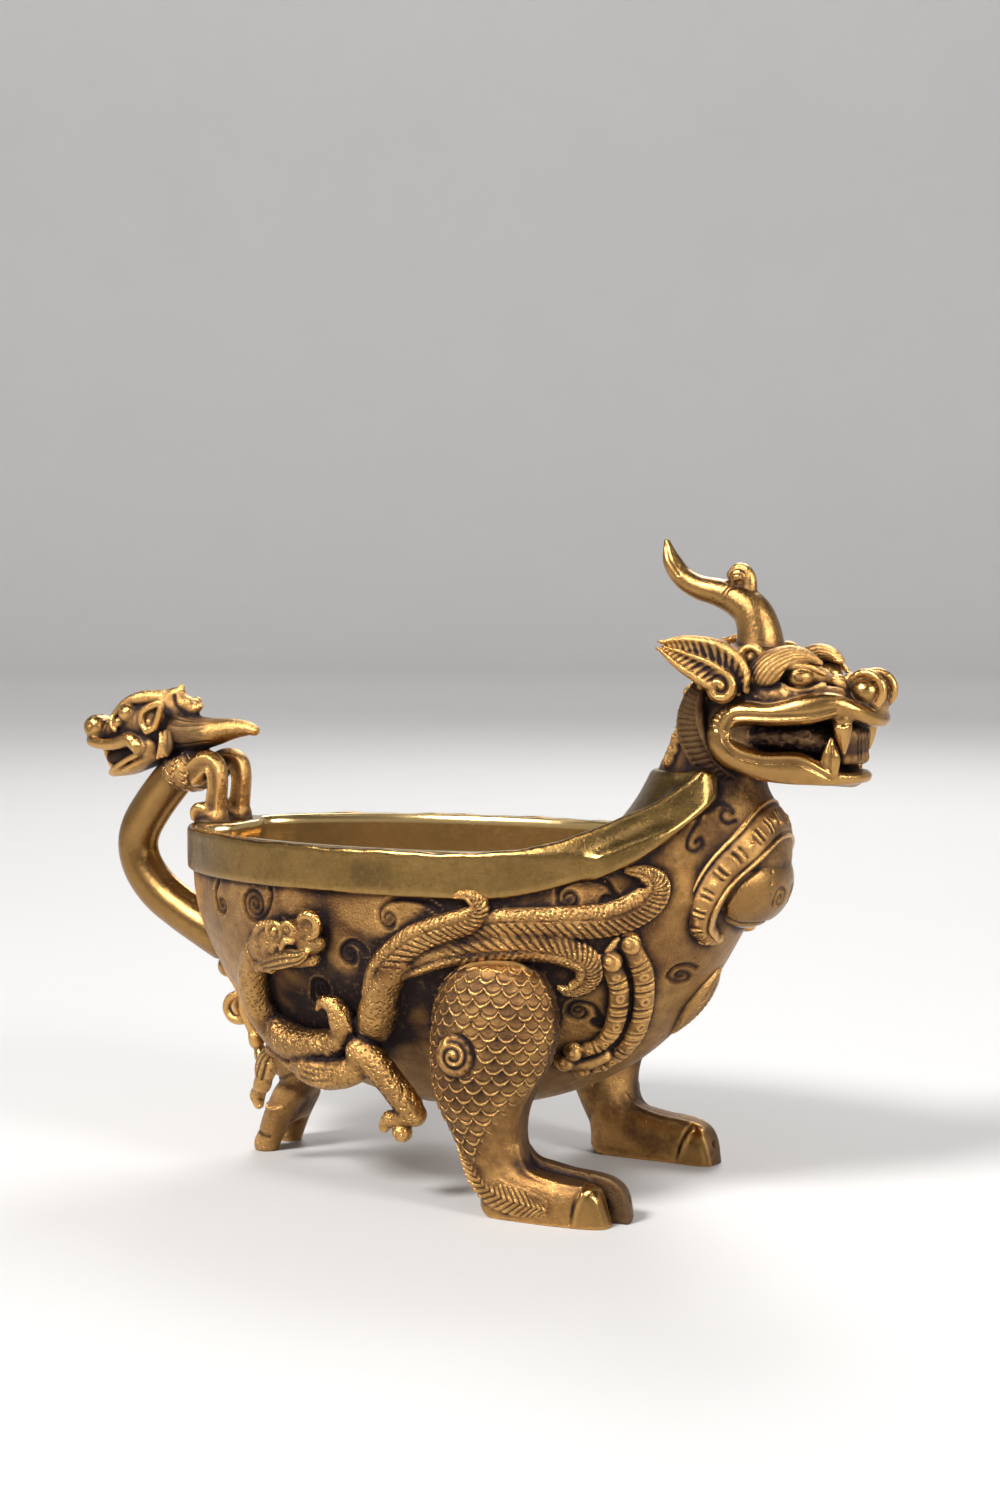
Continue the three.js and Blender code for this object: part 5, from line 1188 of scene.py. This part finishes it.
class Mass:
    """Coarse solid of the whole censer, which shows where pieces crowd together: there patina collects and
    painted shade darkens the gilding.
    """

    grain = 0.7
    low = np.array([-90.0, -44.0, -3.0])
    solid = np.zeros((258, 127, 183), np.float32)

    @classmethod
    def mark(cls, points):
        """Fills the cells that hold these points."""
        i, j, k = np.rint((points - cls.low) / cls.grain).astype(int).T
        cls.solid[i, j, k] = 1

    @classmethod
    def crowding(cls):
        """Grids of how full the space is near by, further away and far off."""
        return blur(blur(cls.solid, 1), 1), blur(blur(cls.solid, 3), 2), blur(blur(cls.solid, 7), 5)


class Tree:
    """Short way to write shader nodes."""

    def __init__(self, tree):
        self.tree, self.nodes, self.links = tree, tree.nodes, tree.links

    def add(self, kind, inputs=(), **settings):
        """New node, with values or links for its inputs."""
        node = self.nodes.new(kind)
        for name, value in settings.items():
            setattr(node, name, value)
        for name, value in dict(inputs).items():
            socket = node.inputs[name]
            if isinstance(value, bpy.types.NodeSocket):
                self.links.new(value, socket)
            else:
                socket.default_value = value
        return node

    def math(self, operation, a, b=0.0, c=0.0, clamp=False):
        """Result of a sum on values or sockets."""
        return self.add("ShaderNodeMath", {0: a, 1: b, 2: c}, operation=operation,
                        use_clamp=clamp).outputs[0]

    def ramp(self, value, low, high):
        """Smooth change from 0 to 1 as a value goes from low to high."""
        sockets = {"Value": value, "From Min": low, "From Max": high}
        return self.add("ShaderNodeMapRange", sockets, interpolation_type="SMOOTHSTEP").outputs[0]

    def mix(self, share, a, b):
        """Colour between two others."""
        node = self.add("ShaderNodeMix", data_type="RGBA")
        for socket, value in ((node.inputs[0], share), (node.inputs[6], a), (node.inputs[7], b)):
            if isinstance(value, bpy.types.NodeSocket):
                self.links.new(value, socket)
            else:
                socket.default_value = value
        return node.outputs[2]

    def mark(self, name):
        """Value of an attribute of the points."""
        return self.add("ShaderNodeAttribute", attribute_name=name).outputs["Fac"]

    def noise(self, scale, detail=4.0, rough=0.6):
        """Noise fixed in the frame."""
        place = self.add("ShaderNodeNewGeometry").outputs["Position"]
        sockets = {"Vector": place, "Scale": scale, "Detail": detail, "Roughness": rough}
        return self.add("ShaderNodeTexNoise", sockets).outputs[0]


def new_group(name, inputs, outputs):
    """Empty shader group with float inputs and outputs, its tree, and its input and output nodes."""
    group = bpy.data.node_groups.new(name, "ShaderNodeTree")
    for label, value in inputs.items():
        socket = group.interface.new_socket(label, in_out="INPUT", socket_type="NodeSocketFloat")
        socket.default_value = value
    for label in outputs:
        group.interface.new_socket(label, in_out="OUTPUT", socket_type="NodeSocketFloat")
    tree = Tree(group)
    return group, tree, tree.add("NodeGroupInput").outputs, tree.add("NodeGroupOutput").inputs


def patina_and_shade_group():
    """Masks of the dark patina in hollows, with painted shade where pieces crowd together, of the rubbed
    high points, and of thin gilding with painted shade near by.
    """
    group, tree, source, result = new_group("Patina and shade", {"Reach": 0.0, "Spread": 1.0},
                                            ("Hollow", "Rubbed", "Soot and shade"))
    relief, crowd = tree.mark("relief"), tree.mark("crowd")
    cloud = tree.math("SUBTRACT", tree.noise(170, 5), 0.5)
    fine = tree.math("SUBTRACT", tree.noise(900, 4), 0.5)
    lift = tree.math("MULTIPLY_ADD", cloud, 1.9, source["Reach"])
    lift = tree.math("MULTIPLY_ADD", fine, 1.5, lift)
    depth = tree.math("SUBTRACT", lift, relief)
    near = tree.ramp(depth, 0.0, 1.7)
    # Where pieces crowd together this mask holds patina and painted shade.
    far = tree.ramp(tree.math("MULTIPLY_ADD", lift, 0.06, crowd), 0.06, 0.26)
    far = tree.math("MULTIPLY", far, source["Spread"])
    tree.links.new(tree.math("MAXIMUM", near, far), result["Hollow"])
    rub = tree.math("MULTIPLY_ADD", fine, 1.6, relief)
    tree.links.new(tree.ramp(rub, 0.45, 1.6), result["Rubbed"])
    # Thin gilding and painted shade where pieces crowd together.
    tree.links.new(tree.ramp(tree.math("MULTIPLY_ADD", lift, 0.06, crowd), 0.0, 0.2), result["Soot and shade"])
    return group


def grain_group():
    """Cast skin: punched dimples, scattered pits, fine grain and hammered unevenness."""
    inputs = {"Punch": 1.0, "Grain": 1.0, "Uneven": 1.0}
    group, tree, source, result = new_group("Cast grain", inputs, ("Height", "Dimple", "Pit"))
    place = tree.add("ShaderNodeNewGeometry").outputs["Position"]
    cells = tree.add("ShaderNodeTexVoronoi", {"Vector": place, "Scale": 1350.0})
    dimple = tree.ramp(cells.outputs["Distance"], 0.5, 0.1)
    spots = tree.add("ShaderNodeTexVoronoi", {"Vector": place, "Scale": 330.0})
    chance = tree.add("ShaderNodeSeparateColor", {"Color": spots.outputs["Color"]}).outputs[0]
    size = tree.math("MULTIPLY_ADD", chance, 0.34, -0.2)
    ragged = tree.math("MULTIPLY_ADD", tree.math("SUBTRACT", tree.noise(1900, 2), 0.5), 0.14, size)
    pit = tree.ramp(tree.math("SUBTRACT", spots.outputs["Distance"], ragged), 0.05, -0.04)
    pit = tree.math("MULTIPLY", pit, tree.math("MINIMUM", source["Grain"], 1.0))
    total = tree.math("MULTIPLY", tree.math("MULTIPLY", dimple, source["Punch"]), -1.3)
    total = tree.math("MULTIPLY_ADD", pit, -0.8, total)
    total = tree.math("MULTIPLY_ADD", tree.noise(2300, 4, 0.7), source["Grain"], total)
    total = tree.math("MULTIPLY_ADD", tree.noise(230, 3), source["Uneven"], total)
    tree.links.new(total, result["Height"])
    tree.links.new(tree.math("MULTIPLY", dimple, source["Punch"]), result["Dimple"])
    tree.links.new(pit, result["Pit"])
    return group


def chasing_group():
    """Fine lines cut along the hatching that a piece carries."""
    group, tree, _, result = new_group("Chasing", {}, ("Height", "Cut"))
    turn = tree.math("COSINE", tree.math("MULTIPLY", tree.mark("line"), 2 * math.pi / HATCH_PITCH))
    cut = tree.math("MULTIPLY", tree.ramp(turn, 0.1, 0.95), tree.mark("lined"))
    tree.links.new(tree.math("MULTIPLY", cut, -1.0), result["Height"])
    tree.links.new(cut, result["Cut"])
    return group


def tone_group():
    """Slow changes of tone where gilding is thick or thin, and quick smears."""
    group, tree, source, result = new_group("Gilding", {"Scale": 1.0}, ("Thin", "Smear"))
    slow = tree.noise(tree.math("MULTIPLY", source["Scale"], 70.0), 5, 0.65)
    quick = tree.noise(tree.math("MULTIPLY", source["Scale"], 420.0), 5, 0.75)
    tree.links.new(tree.ramp(slow, 0.36, 0.66), result["Thin"])
    tree.links.new(tree.ramp(quick, 0.4, 0.7), result["Smear"])
    return group


def gilt(name, groups, bright, deep, patina, rough, punch, grain, uneven, reach, spread, metal=1.0):
    """Gilt bronze: gold that thins to bronze, dark hollows of patina and painted shade, polished places
    painted darker, rubbed edges and a cast skin.
    """
    material = bpy.data.materials.new(name)
    material.use_nodes = True
    tree = Tree(material.node_tree)
    shader = tree.nodes["Principled BSDF"]
    use = lambda group, **values: tree.add("ShaderNodeGroup", values, node_tree=groups[group]).outputs
    masks = use("patina", Reach=reach, Spread=spread)
    skin = use("grain", Punch=punch, Grain=grain, Uneven=uneven)
    chasing, tone = use("chasing"), use("tone", Scale=1.0)
    polish = tree.mark("sheen")
    sheen = tree.math("MAXIMUM", polish, 0.0)
    plain = tree.math("MULTIPLY_ADD", sheen, -0.7, 1.0)

    # Gold thins to bronze at random, and where pieces crowd together, which is painted shade.
    thin = tree.math("MULTIPLY_ADD", masks["Soot and shade"], 0.6, tree.math("MULTIPLY", tone["Thin"], 0.6),
                     clamp=True)
    thin = tree.math("MULTIPLY", thin, tree.math("MULTIPLY_ADD", sheen, -0.4, 1.0))
    colour = tree.mix(thin, bright, deep)
    colour = tree.mix(tree.math("MULTIPLY", tone["Smear"], 0.45), colour, deep)
    # Polished places are painted darker: a painted dark reflection of the surroundings.
    colour = tree.mix(tree.math("MULTIPLY", sheen, 0.6), colour, [0.5 * c for c in bright[:3]] + [1])
    # Dark hollows: patina, with painted shade where pieces crowd together, and chased lines, dimples and
    # pits.
    hollow = tree.math("MAXIMUM", masks["Hollow"], tree.math("MULTIPLY", chasing["Cut"], 0.75))
    hollow = tree.math("MAXIMUM", hollow, tree.math("MULTIPLY", skin["Dimple"], 0.36))
    hollow = tree.math("MAXIMUM", hollow, tree.math("MULTIPLY", skin["Pit"], 0.45))
    hollow = tree.math("MULTIPLY", hollow, tree.math("MULTIPLY_ADD", sheen, -0.5, 1.0))
    # A negative sheen mark paints the patina colour: patina, dark eyes, and painted shade in mouths, clefts
    # and under paws.
    hollow = tree.math("MAXIMUM", hollow, tree.math("MULTIPLY", polish, -1.0), clamp=True)
    colour = tree.mix(hollow, colour, patina)
    glow = [min(1, 1.25 * c) for c in bright[:3]] + [1]
    rubbed = tree.math("MULTIPLY", masks["Rubbed"], tree.math("MULTIPLY_ADD", sheen, -0.5, 0.85))
    rubbed = tree.math("MULTIPLY", rubbed, tree.math("MULTIPLY_ADD", polish, 1.5, 1.0, clamp=True))
    colour = tree.mix(rubbed, colour, glow)
    tree.links.new(colour, shader.inputs["Base Color"])

    shine = tree.math("MULTIPLY_ADD", sheen, -0.11, rough)
    shine = tree.math("MULTIPLY_ADD", hollow, 0.3, shine)
    shine = tree.math("MULTIPLY_ADD", masks["Rubbed"], -0.1, shine)
    shine = tree.math("MULTIPLY_ADD", tone["Smear"], 0.08, shine)
    tree.links.new(tree.math("MAXIMUM", shine, 0.17), shader.inputs["Roughness"])
    tree.links.new(tree.math("MULTIPLY_ADD", hollow, -0.2, metal), shader.inputs["Metallic"])
    height = tree.math("MULTIPLY", skin["Height"], plain)
    height = tree.math("MULTIPLY_ADD", chasing["Height"], 0.7, height)
    bump = tree.add("ShaderNodeBump", {"Height": height, "Strength": 0.75, "Distance": BUMP_DEPTH * METRE})
    tree.links.new(bump.outputs[0], shader.inputs["Normal"])
    return material


def lay_mesh(name, points, faces, marks):
    """Mesh in metres, with its marks as attributes of the points."""
    mesh = bpy.data.meshes.new(name)
    mesh.from_pydata(points * METRE, [], faces)
    for label, values in marks.items():
        layer = mesh.attributes.new(label, "FLOAT", "POINT")
        layer.data.foreach_set("value", np.asarray(values, np.float32))
    mesh.shade_smooth()
    mesh.update()
    piece = bpy.data.objects.new(name, mesh)
    bpy.context.scene.collection.objects.link(piece)
    return piece


def make(name, form, finish, flip=False):
    """Casts a form, lays it in the scene in place of the solid of that name, and gives it a finish."""
    points, faces, marks = form
    if flip:
        points, faces = points * (1, -1, 1), faces[:, ::-1]
    piece = lay_mesh("cast_" + name, points, faces, marks)
    piece.data.materials.append(finish_of(finish))
    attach(piece, "root")
    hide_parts(name)
    return piece


def finish_of(name):
    """Material of that name, built when it is first asked for."""
    if name in bpy.data.materials:
        return bpy.data.materials[name]
    colours = bpy.context.scene.censer_colours
    groups = {"patina": ("Patina and shade", patina_and_shade_group), "grain": ("Cast grain", grain_group),
              "chasing": ("Chasing", chasing_group), "tone": ("Gilding", tone_group)}
    groups = {k: bpy.data.node_groups.get(label) or build() for k, (label, build) in groups.items()}
    names = "gold", "bronze", "patina", "brass", "hollow"
    bright, deep, patina, brass, hollow = ((*getattr(colours, name), 1) for name in names)
    shade = lambda colour, k: [k * c for c in colour[:3]] + [1]
    # Each row: bright, deep and dark colours, roughness, punch, grain, uneven, reach and spread of patina
    # and painted shade
    recipes = {
        "chased_gold": (bright, deep, patina, 0.27, 0.12, 0.9, 1.2, 0.35, 1.1),
        "punched_gold": (bright, deep, patina, 0.28, 1.0, 0.8, 1.2, 0.35, 1.1),
        "hull_gold": (shade(bright, 0.84), shade(deep, 0.85), patina, 0.28, 0.3, 2.4, 2.2, 0.5, 1.05),
        # Polished pieces take a darker gold, a painted dark reflection of the surroundings.
        "polished_gold_painted_reflection": (shade(bright, 0.72), deep, patina, 0.27, 0.05, 0.7, 1.2, 0.0, 0.9),
        "brass_band": (brass, shade(brass, 0.4), patina, 0.3, 0.0, 0.5, 1.0, -0.4, 0.9),
        # The hollow of the cup takes a paler gilt, painted light for the lit inside of the cup.
        "bowl_gold_painted_light": (hollow, shade(hollow, 0.75), deep, 0.25, 0.0, 0.2, 0.5, -0.8, 0.2, 0.88),
    }
    return gilt(name, groups, *recipes[name])


class CenserSizes(bpy.types.PropertyGroup):
    """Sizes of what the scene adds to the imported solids."""

    scroll_depth: bpy.props.FloatProperty(
        name="Scroll depth", description="Depth of the chased scrolls on the cup",
        default=0.0005, unit="LENGTH")
    floor_radius: bpy.props.FloatProperty(
        name="Floor radius", description="Radius of the flat floor round the censer",
        default=3.0, unit="LENGTH")
    camera_lens: bpy.props.FloatProperty(
        name="Camera lens", description="Focal length of the camera in millimetres",
        default=53.52)


class CenserColours(bpy.types.PropertyGroup):
    """Colours of the finishes and the stage."""

    gold: bpy.props.FloatVectorProperty(
        name="Gold", description="Thick gilding",
        default=(0.60, 0.34, 0.112), subtype="COLOR")
    bronze: bpy.props.FloatVectorProperty(
        name="Bronze", description="Bronze where the gilding is thin",
        default=(0.23, 0.108, 0.037), subtype="COLOR")
    # Patina is also the colour of the painted shade where pieces crowd together, in mouths and in clefts.
    patina: bpy.props.FloatVectorProperty(
        name="Patina and shade", description="Dark patina in the hollows",
        default=(0.022, 0.013, 0.013), subtype="COLOR")
    # The hollow colour is paler than the gold: painted light inside the cup.
    hollow: bpy.props.FloatVectorProperty(
        name="Hollow", description="Gilt inside the cup, painted paler as painted light",
        default=(0.82, 0.58, 0.25), subtype="COLOR")
    brass: bpy.props.FloatVectorProperty(
        name="Brass", description="Satin brass of the rim band",
        default=(0.33, 0.2, 0.066), subtype="COLOR")
    floor: bpy.props.FloatVectorProperty(
        name="Floor", description="Pale floor",
        default=(0.56, 0.55, 0.54), subtype="COLOR")


class CastPiece(bpy.types.Operator):
    """Casts pieces of the censer."""

    bl_idname = "censer.cast"
    bl_label = "Cast"

    def clay(self, name, clay, finish="chased_gold", slot="chased_gilt", both=False):
        """Casts a block of clay, and its mirror image where there are two."""
        inside = clay.low + clay.grain * np.argwhere(clay.field < 0)
        Mass.mark(inside)
        if clay.half or both:
            Mass.mark(inside * (1, -1, 1))
        form = clay.cast()
        for side in (("_right", "_left") if both else ("",)):
            make(name + side, form, finish, flip=side == "_left")


class CENSER_OT_cup(CastPiece):
    """Cup with chased scrolls, a flat rim and a smooth hollow"""

    bl_idname = "censer.cup"
    bl_label = "Cup"

    def execute(self, context):
        points, faces, marks = cast_cup(context.scene.censer_sizes.scroll_depth / METRE)
        piece = make("cup_shell", (points, faces, marks), "hull_gold")
        piece.data.materials.append(finish_of("bowl_gold_painted_light"))
        hollow = np.asarray(marks["sheen"]) > 0.5
        piece.data.polygons.foreach_set("material_index", [int(hollow[list(f)].all()) for f in faces])
        x, y, z = np.meshgrid(*(np.arange(a, b, 0.5) for a, b in ((-57, 64), (-34, 34), (CUP_FOOT, RIM))),
                              indexing="ij")
        front, rear, side = cup_reach(z)
        u = x - CUP_MIDDLE
        full = (u / np.where(u > 0, front + 0.01, rear + 0.01)) ** 2 + (y / (side + 0.01)) ** 2 < 1
        Mass.mark(np.stack([x[full], y[full], z[full]], 1))
        return {"FINISHED"}


class CENSER_OT_rim_band(CastPiece):
    """Satin band round the rim, and the collar that climbs the neck"""

    bl_idname = "censer.rim_band"
    bl_label = "Rim Band"

    def execute(self, context):
        self.clay("rim_band", clay_band(), "brass_band", "polished_gilt")
        return {"FINISHED"}


class CENSER_OT_head(CastPiece):
    """Neck, skull, jaw, ruff, horn and ears of the beast"""

    bl_idname = "censer.head"
    bl_label = "Beast's Head"

    def execute(self, context):
        self.clay("neck", clay_neck(), "hull_gold")
        self.clay("skull", clay_skull())
        self.clay("lower_jaw", clay_jaw())
        self.clay("throat_ruff", clay_ruff(), "hull_gold")
        self.clay("horn", clay_horn(), "polished_gold_painted_reflection", "polished_gilt")
        self.clay("ear", clay_ear(), both=True)
        return {"FINISHED"}


class CENSER_OT_breast(CastPiece):
    """Boss, ring, leaf and straps of the breast"""

    bl_idname = "censer.breast"
    bl_label = "Breast"

    def execute(self, context):
        self.clay("breast_boss", clay_boss(), "polished_gold_painted_reflection", "polished_gilt")
        self.clay("breast_ring", clay_ring())
        self.clay("breast_leaf", clay_leaf())
        self.clay("strap_pair", clay_straps(), both=True)
        return {"FINISHED"}


class CENSER_OT_legs(CastPiece):
    """Two front legs and the rear leg"""

    bl_idname = "censer.legs"
    bl_label = "Legs"

    def execute(self, context):
        self.clay("front_leg", clay_front_leg(), both=True)
        self.clay("rear_leg", clay_rear_leg(), "hull_gold")
        return {"FINISHED"}


class CENSER_OT_handle(CastPiece):
    """Stem, head and forelegs of the handle dragon, and the scrolls below it"""

    bl_idname = "censer.handle"
    bl_label = "Handle Dragon"

    def execute(self, context):
        self.clay("handle_stem", clay_stem(), "polished_gold_painted_reflection", "polished_gilt")
        self.clay("handle_head", clay_handle_head())
        self.clay("handle_foreleg", clay_foreleg(), both=True)
        self.clay("tail_scroll", clay_tail_scroll())
        return {"FINISHED"}


class CENSER_OT_dragons(CastPiece):
    """Dragons with plumed tails on both flanks"""

    bl_idname = "censer.dragons"
    bl_label = "Flank Dragons"

    def execute(self, context):
        self.clay("flank_dragon", clay_dragon(), "punched_gold", both=True)
        return {"FINISHED"}


class CENSER_OT_patina_and_shade(bpy.types.Operator):
    """Marks where pieces crowd together, so that patina and painted shade collect there"""

    bl_idname = "censer.patina"
    bl_label = "Patina and shade"

    def execute(self, context):
        near, far, wide = Mass.crowding()
        for piece in context.scene.objects:
            if piece.type == "MESH" and "relief" in piece.data.attributes:
                places = np.empty(3 * len(piece.data.vertices), np.float32)
                piece.data.vertices.foreach_get("co", places)
                points = places.reshape(-1, 3) / METRE
                places = (points - Mass.low) / Mass.grain
                crowd = 0.5 * sample(near, places) + 0.5 * sample(far, places) - 0.5
                if piece.name == "cast_cup_shell":
                    # On the cup, painted shade darkens the places under large masses.
                    loom = sample(wide, places)
                    crowd = crowd + LOOM_SHARE * step(*np.quantile(loom, (0.5, 0.96)), loom)
                    # Spots of patina and painted shade between the figures on the flanks.
                    for x, z, reach in PATINA_AND_SHADE_SPOTS:
                        spread = ((points[:, 0] - x) ** 2 + (points[:, 2] - z) ** 2) / reach**2
                        crowd = crowd + PATINA_AND_SHADE_SHARE * np.exp(-spread) * (np.abs(points[:, 1]) > PATINA_AND_SHADE_SIDE)
                values = crowd.astype(np.float32)
                piece.data.attributes.new("crowd", "FLOAT", "POINT").data.foreach_set("value", values)
        return {"FINISHED"}


def hang_lamp(name, place, aim, size, power):
    """Soft round lamp at a place, turned along a direction."""
    lamp = bpy.data.lights.new(name, "AREA")
    lamp.shape, lamp.size, lamp.energy = "DISK", size, power
    holder = bpy.data.objects.new(name, lamp)
    holder.location = place
    holder.rotation_euler = aim.to_track_quat("-Z", "Y").to_euler()
    bpy.context.scene.collection.objects.link(holder)


class CENSER_OT_stage(bpy.types.Operator):
    """Pale floor that rises to a wall far off, soft lamps and the camera"""

    bl_idname = "censer.stage"
    bl_label = "Stage"

    lamps = (
        ("key_lamp", (-0.35, -0.85, 0.95), 0.38, 22.0),
        ("side_lamp", (0.95, -0.3, 0.5), 0.3, 7.0),
        ("back_lamp", (-0.2, 0.9, 0.9), 0.6, 9.0),
    )
    wall_lamps, wall_lamp_size, wall_lamp_power = 6, 1.2, 34.0
    wall_lamp_reach, wall_lamp_height, wall_lamp_dip = 1.6, 2.6, 0.75
    floor_sides, wall_height = 96, 2.2
    sky = (0.1, 0.1, 0.103, 1)

    def execute(self, context):
        scene = context.scene
        radius = scene.censer_sizes.floor_radius
        profile = [(radius * k, 0.0) for k in (0.02, 0.1, 0.3, 0.6, 1)]
        profile += [(radius + math.sin(a), 1 - math.cos(a)) for a in np.linspace(0, math.pi / 2, 12)[1:]]
        profile += [(radius + 1, self.wall_height)]
        sides = self.floor_sides
        turn = np.linspace(0, 2 * math.pi, sides, endpoint=False)
        points = [(r * math.cos(a), r * math.sin(a), z) for r, z in profile for a in turn]
        faces = ring_quads(np.arange(len(points)).reshape(-1, sides))
        mesh = bpy.data.meshes.new("floor")
        mesh.from_pydata(points, [], [*faces[:, ::-1].tolist(), list(range(sides))])
        mesh.shade_smooth()
        floor = bpy.data.objects.new("floor", mesh)
        scene.collection.objects.link(floor)
        material = bpy.data.materials.new("floor_paint")
        material.use_nodes = True
        tree = Tree(material.node_tree)
        shader = tree.nodes["Principled BSDF"]
        pale = tuple(scene.censer_colours.floor) + (1,)
        dull = tuple(0.95 * c for c in scene.censer_colours.floor) + (1,)
        tree.links.new(tree.mix(tree.noise(6), pale, dull), shader.inputs["Base Color"])
        shader.inputs["Roughness"].default_value = 0.7
        mesh.materials.append(material)

        world = bpy.data.worlds.new("studio")
        world.use_nodes = True
        world.node_tree.nodes["Background"].inputs["Color"].default_value = self.sky
        world.node_tree.nodes["Background"].inputs["Strength"].default_value = 1
        scene.world = world
        for name, place, size, power in self.lamps:
            hang_lamp(name, place, Vector(LAMP_TARGET) - Vector(place), size, power)
        for k in range(self.wall_lamps):
            angle = 2 * math.pi / self.wall_lamps * k
            out = Vector((math.cos(angle), math.sin(angle), 0))
            place = self.wall_lamp_reach * out + Vector((0, 0, self.wall_lamp_height))
            aim = out - Vector((0, 0, self.wall_lamp_dip))
            hang_lamp(f"wall_lamp_{k}", place, aim, self.wall_lamp_size, self.wall_lamp_power)

        camera = bpy.data.cameras.new("camera")
        camera.lens, camera.sensor_width = scene.censer_sizes.camera_lens, CAMERA_SENSOR
        view = bpy.data.objects.new("camera", camera)
        view.location = CAMERA_PLACE
        view.rotation_euler = Vector(CAMERA_AIM).to_track_quat("-Z", "Y").to_euler()
        scene.collection.objects.link(view)
        scene.camera = view
        scene.view_settings.view_transform = "Standard"
        return {"FINISHED"}


STEPS = (CENSER_OT_cup, CENSER_OT_rim_band, CENSER_OT_head, CENSER_OT_breast, CENSER_OT_legs,
         CENSER_OT_handle, CENSER_OT_dragons, CENSER_OT_patina_and_shade, CENSER_OT_stage)


class CENSER_PT_build(bpy.types.Panel):
    """Lists the steps that build the censer"""

    bl_idname = "CENSER_PT_build"
    bl_label = "Gilt Tripod Censer"
    bl_space_type = "VIEW_3D"
    bl_region_type = "UI"
    bl_category = "Censer"

    def draw(self, context):
        for settings in (context.scene.censer_sizes, context.scene.censer_colours):
            for name in settings.bl_rna.properties.keys():
                if name not in ("rna_type", "name"):
                    self.layout.prop(settings, name)
        for build in STEPS:
            self.layout.operator(build.bl_idname)


CLASSES = (CenserSizes, CenserColours, *STEPS, CENSER_PT_build)


def register():
    """Adds the settings, the steps and the panel."""
    for each in CLASSES:
        bpy.utils.register_class(each)
    bpy.types.Scene.censer_sizes = bpy.props.PointerProperty(type=CenserSizes)
    bpy.types.Scene.censer_colours = bpy.props.PointerProperty(type=CenserColours)


def unregister():
    """Takes them away again."""
    del bpy.types.Scene.censer_colours, bpy.types.Scene.censer_sizes
    for each in reversed(CLASSES):
        bpy.utils.unregister_class(each)


def main():
    """Builds the censer step by step."""
    register()
    bpy.ops.censer.cup()
    bpy.ops.censer.rim_band()
    bpy.ops.censer.head()
    bpy.ops.censer.breast()
    bpy.ops.censer.legs()
    bpy.ops.censer.handle()
    bpy.ops.censer.dragons()
    bpy.ops.censer.patina()
    bpy.ops.censer.stage()


if __name__ == "__main__":
    main()
